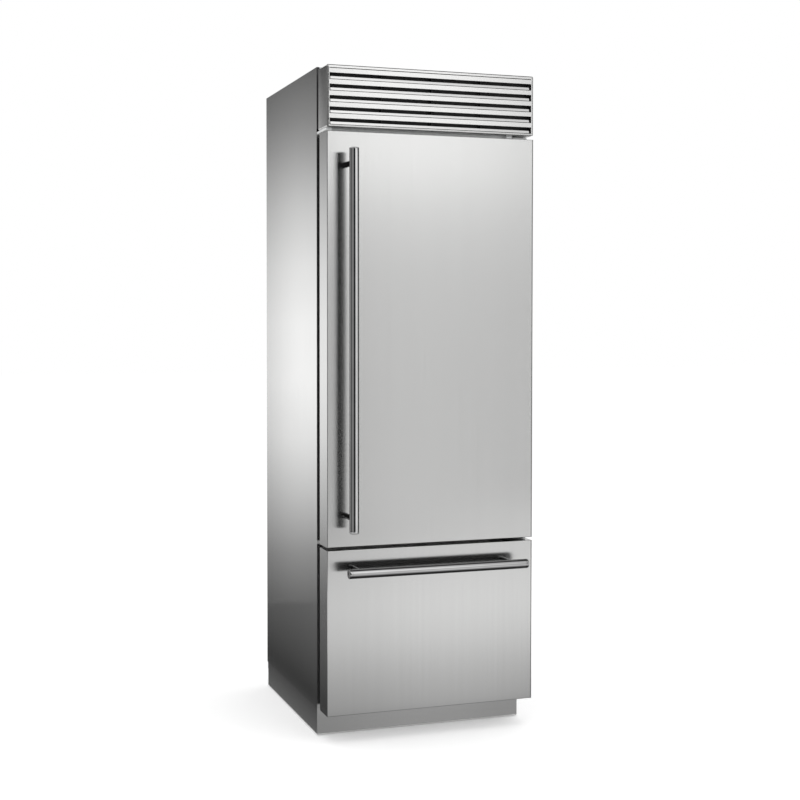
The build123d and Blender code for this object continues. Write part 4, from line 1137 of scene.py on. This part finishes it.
# Studio cards that show in the metal alone: name, middle, size, the way it looks, its paint
CARDS = (
    ("side_card", (-0.95, 1.75, 1.25), (2.6, 3.2), (0.35, -1, 0),
     graded("Z", [(0.0, 0.33), (0.23, 0.67), (0.50, 1.32), (0.77, 1.94), (1.04, 2.24), (1.31, 2.23),
                  (1.58, 1.94), (1.85, 1.45), (2.12, 0.86), (2.25, 0.62), (2.60, 0.18)],
            ("X", [(-1.3, 0.50), (-1.03, 0.54), (-0.965, 0.60), (-0.935, 0.80), (-0.915, 1.0), (-0.885, 1.0),
                   (-0.86, 0.73), (-0.80, 0.54), (-0.72, 0.405), (-0.6, 0.30), (-0.3, 0.23)]))),
    ("side_floor_card", (-1.35, 0.75, 0.004), (2.0, 2.2), UP,
     graded("X", [(-1.6, 0.35), (-0.69, 0.127), (-0.554, 0.085), (-0.465, 0.04), (-0.42, 0.10),
                  (-0.35, 0.15)])),
    ("left_card", (-2.80, 0.3, 1.5), (2.6, 3.0), RIGHT, graded("Z", [(0.0, 0.15), (3.0, 0.2)])),
    ("front_card", (1.70, -5.0, 3.5), (2.4, 7.0), BACK,
     graded("Z", [(0.0, 0.99), (1.0, 1.02), (1.45, 1.07), (1.65, 1.10), (1.85, 1.18), (2.05, 1.30),
                  (2.20, 1.45), (2.40, 1.71), (2.70, 1.74), (7.0, 1.74)],
            ("X", [(0.5, 1.0), (1.3, 1.0), (1.85, 1.0), (2.15, 0.94), (2.45, 0.78), (2.9, 0.58)]))),
    ("front_gap_card", (3.2, -4.95, 2.0), (0.6, 4.0), BACK, graded("Z", [(0.0, 0.3), (4.0, 0.4)])),
    ("front_floor_card", (0.75, -2.56, 0.003), (4.5, 4.66), UP,
     graded("Y", [(-4.9, 0.97), (-3.9, 1.01), (-2.9, 1.17), (-2.2, 1.23), (-1.6, 1.09), (-1.1, 0.83),
                  (-0.68, 0.645), (-0.50, 0.43), (-0.33, 0.42), (-0.22, 0.42)],
            ((-1.57, 3.68), [(0.30, 0.79), (0.324, 0.83), (0.355, 0.92), (0.39, 1.0), (0.44, 1.0),
                             (0.476, 0.92), (0.52, 0.88)]), 0.35)),
    ("dark_card", (-1.385, -2.536, 1.6), (4.75, 3.2), (0.640, 0.768, 0),
     graded("X", [(-3.21, 0.24), (-2.60, 0.24), (-2.28, 0.52), (-1.95, 0.36), (-1.53, 0.32), (-1.30, 0.03),
                  (0.44, 0.02)])),
    ("strip_card", (4.005, -4.61, 1.5), (2.45, 3.0), (-0.766, 0.643, 0),
     graded("Z", [(0.0, 1.9), (3.0, 1.9)])),
    ("strip_floor_card", (4.00, -3.60, 0.004), (2.4, 2.4), UP, graded("Y", [(-4.8, 1.6), (-2.4, 1.6)])),
    ("right_card", (3.0, 0.10, 1.5), (4.0, 3.0), -RIGHT,
     graded("Z", [(0.0, 0.05), (0.5, 0.08), (1.2, 0.12), (1.8, 0.12), (2.3, 0.09), (3.0, 0.07)])),
    ("right_back_card", (2.64, 3.38, 1.5), (2.6, 3.0), (-0.574, -0.819, 0),
     graded("Z", [(0.0, 0.20), (0.5, 0.45), (1.1, 0.90), (1.6, 0.95), (2.2, 0.55), (3.0, 0.20)])),
    ("ceiling_card", (0.8, 0.1, 3.9), (4.0, 3.4), -UP, graded("Y", [(-1.6, 0.08), (1.8, 0.05)])),
)


class FRIDGE_OT_stage(bpy.types.Operator):
    """Makes the floor, the studio light and the camera"""
    bl_idname = "fridge.stage"
    bl_label = "Studio"

    def execute(self, context):
        scene = context.scene
        scene.view_settings.view_transform = "Standard"
        stage_sheet("floor", (0, 0, 0), (60, 60), UP, floor_paint)
        for card in CARDS:
            reflection_only(stage_sheet(*card))
        soft_lamp("key_lamp", (1.2, -3.4, 3.1), (0, -0.3, 1.3), (2.6, 1.6), 2.0)
        soft_lamp("overhead_lamp", (0, -0.5, 4.2), (0, -0.5, 0), (4.0, 4.0), 1.0)
        self.sky(scene)
        self.camera(scene)
        return {"FINISHED"}

    def sky(self, scene):
        scene.world = bpy.data.worlds.new("studio")
        tree = Tree(scene.world)
        light = tree.node("ShaderNodeBackground", inputs={"Color": (0.8, 0.8, 0.8, 1.0)})
        white = tree.node("ShaderNodeBackground", inputs={"Color": (1.0, 1.0, 1.0, 1.0)})
        mixed = tree.node("ShaderNodeMixShader", inputs={0: background_rays(tree), 1: light, 2: white})
        tree.node("ShaderNodeOutputWorld", inputs={"Surface": mixed})

    def camera(self, scene):
        lens = bpy.data.cameras.new("camera")
        lens.sensor_width = 36.0
        lens.lens = 61.14
        lens.shift_x = 0.05
        lens.shift_y = -0.05
        made = in_scene("camera", lens)
        made.location = (-1.5664, -4.3413, 1.3202)
        tilt, turn = 1.62, 18.29
        made.rotation_euler = (math.radians(90 - tilt), 0.0, math.radians(-turn))
        scene.camera = made


OPERATORS = (
    FRIDGE_OT_node_finishes, FRIDGE_OT_handles, FRIDGE_OT_seals, FRIDGE_OT_liners, FRIDGE_OT_front_linings,
    FRIDGE_OT_shelves, FRIDGE_OT_bins, FRIDGE_OT_lights, FRIDGE_OT_grille, FRIDGE_OT_gap_strip,
    FRIDGE_OT_bay_shade_strips, FRIDGE_OT_back_sheet, FRIDGE_OT_machine, FRIDGE_OT_feet, FRIDGE_OT_stage)


class FRIDGE_PT_panel(bpy.types.Panel):
    """Sidebar panel with the sizes, the colours and the steps in order"""
    bl_idname = "FRIDGE_PT_panel"
    bl_label = "Refrigerator"
    bl_space_type = "VIEW_3D"
    bl_region_type = "UI"
    bl_category = "Refrigerator"

    def draw(self, context):
        for group in (context.scene.fridge_sizes, context.scene.fridge_colours):
            for key in group.bl_rna.properties.keys():
                if key not in ("rna_type", "name"):
                    self.layout.prop(group, key)
        for step in OPERATORS:
            self.layout.operator(step.bl_idname)


CLASSES = (FridgeSizes, FridgeColours, *OPERATORS, FRIDGE_PT_panel)


def register():
    for entry in CLASSES:
        bpy.utils.register_class(entry)
    bpy.types.Scene.fridge_sizes = bpy.props.PointerProperty(type=FridgeSizes)
    bpy.types.Scene.fridge_colours = bpy.props.PointerProperty(type=FridgeColours)


def unregister():
    del bpy.types.Scene.fridge_sizes
    del bpy.types.Scene.fridge_colours
    for entry in reversed(CLASSES):
        bpy.utils.unregister_class(entry)


def main():
    register()
    for step in OPERATORS:
        group, name = step.bl_idname.split(".")
        getattr(getattr(bpy.ops, group), name)()


if __name__ == "__main__":
    main()
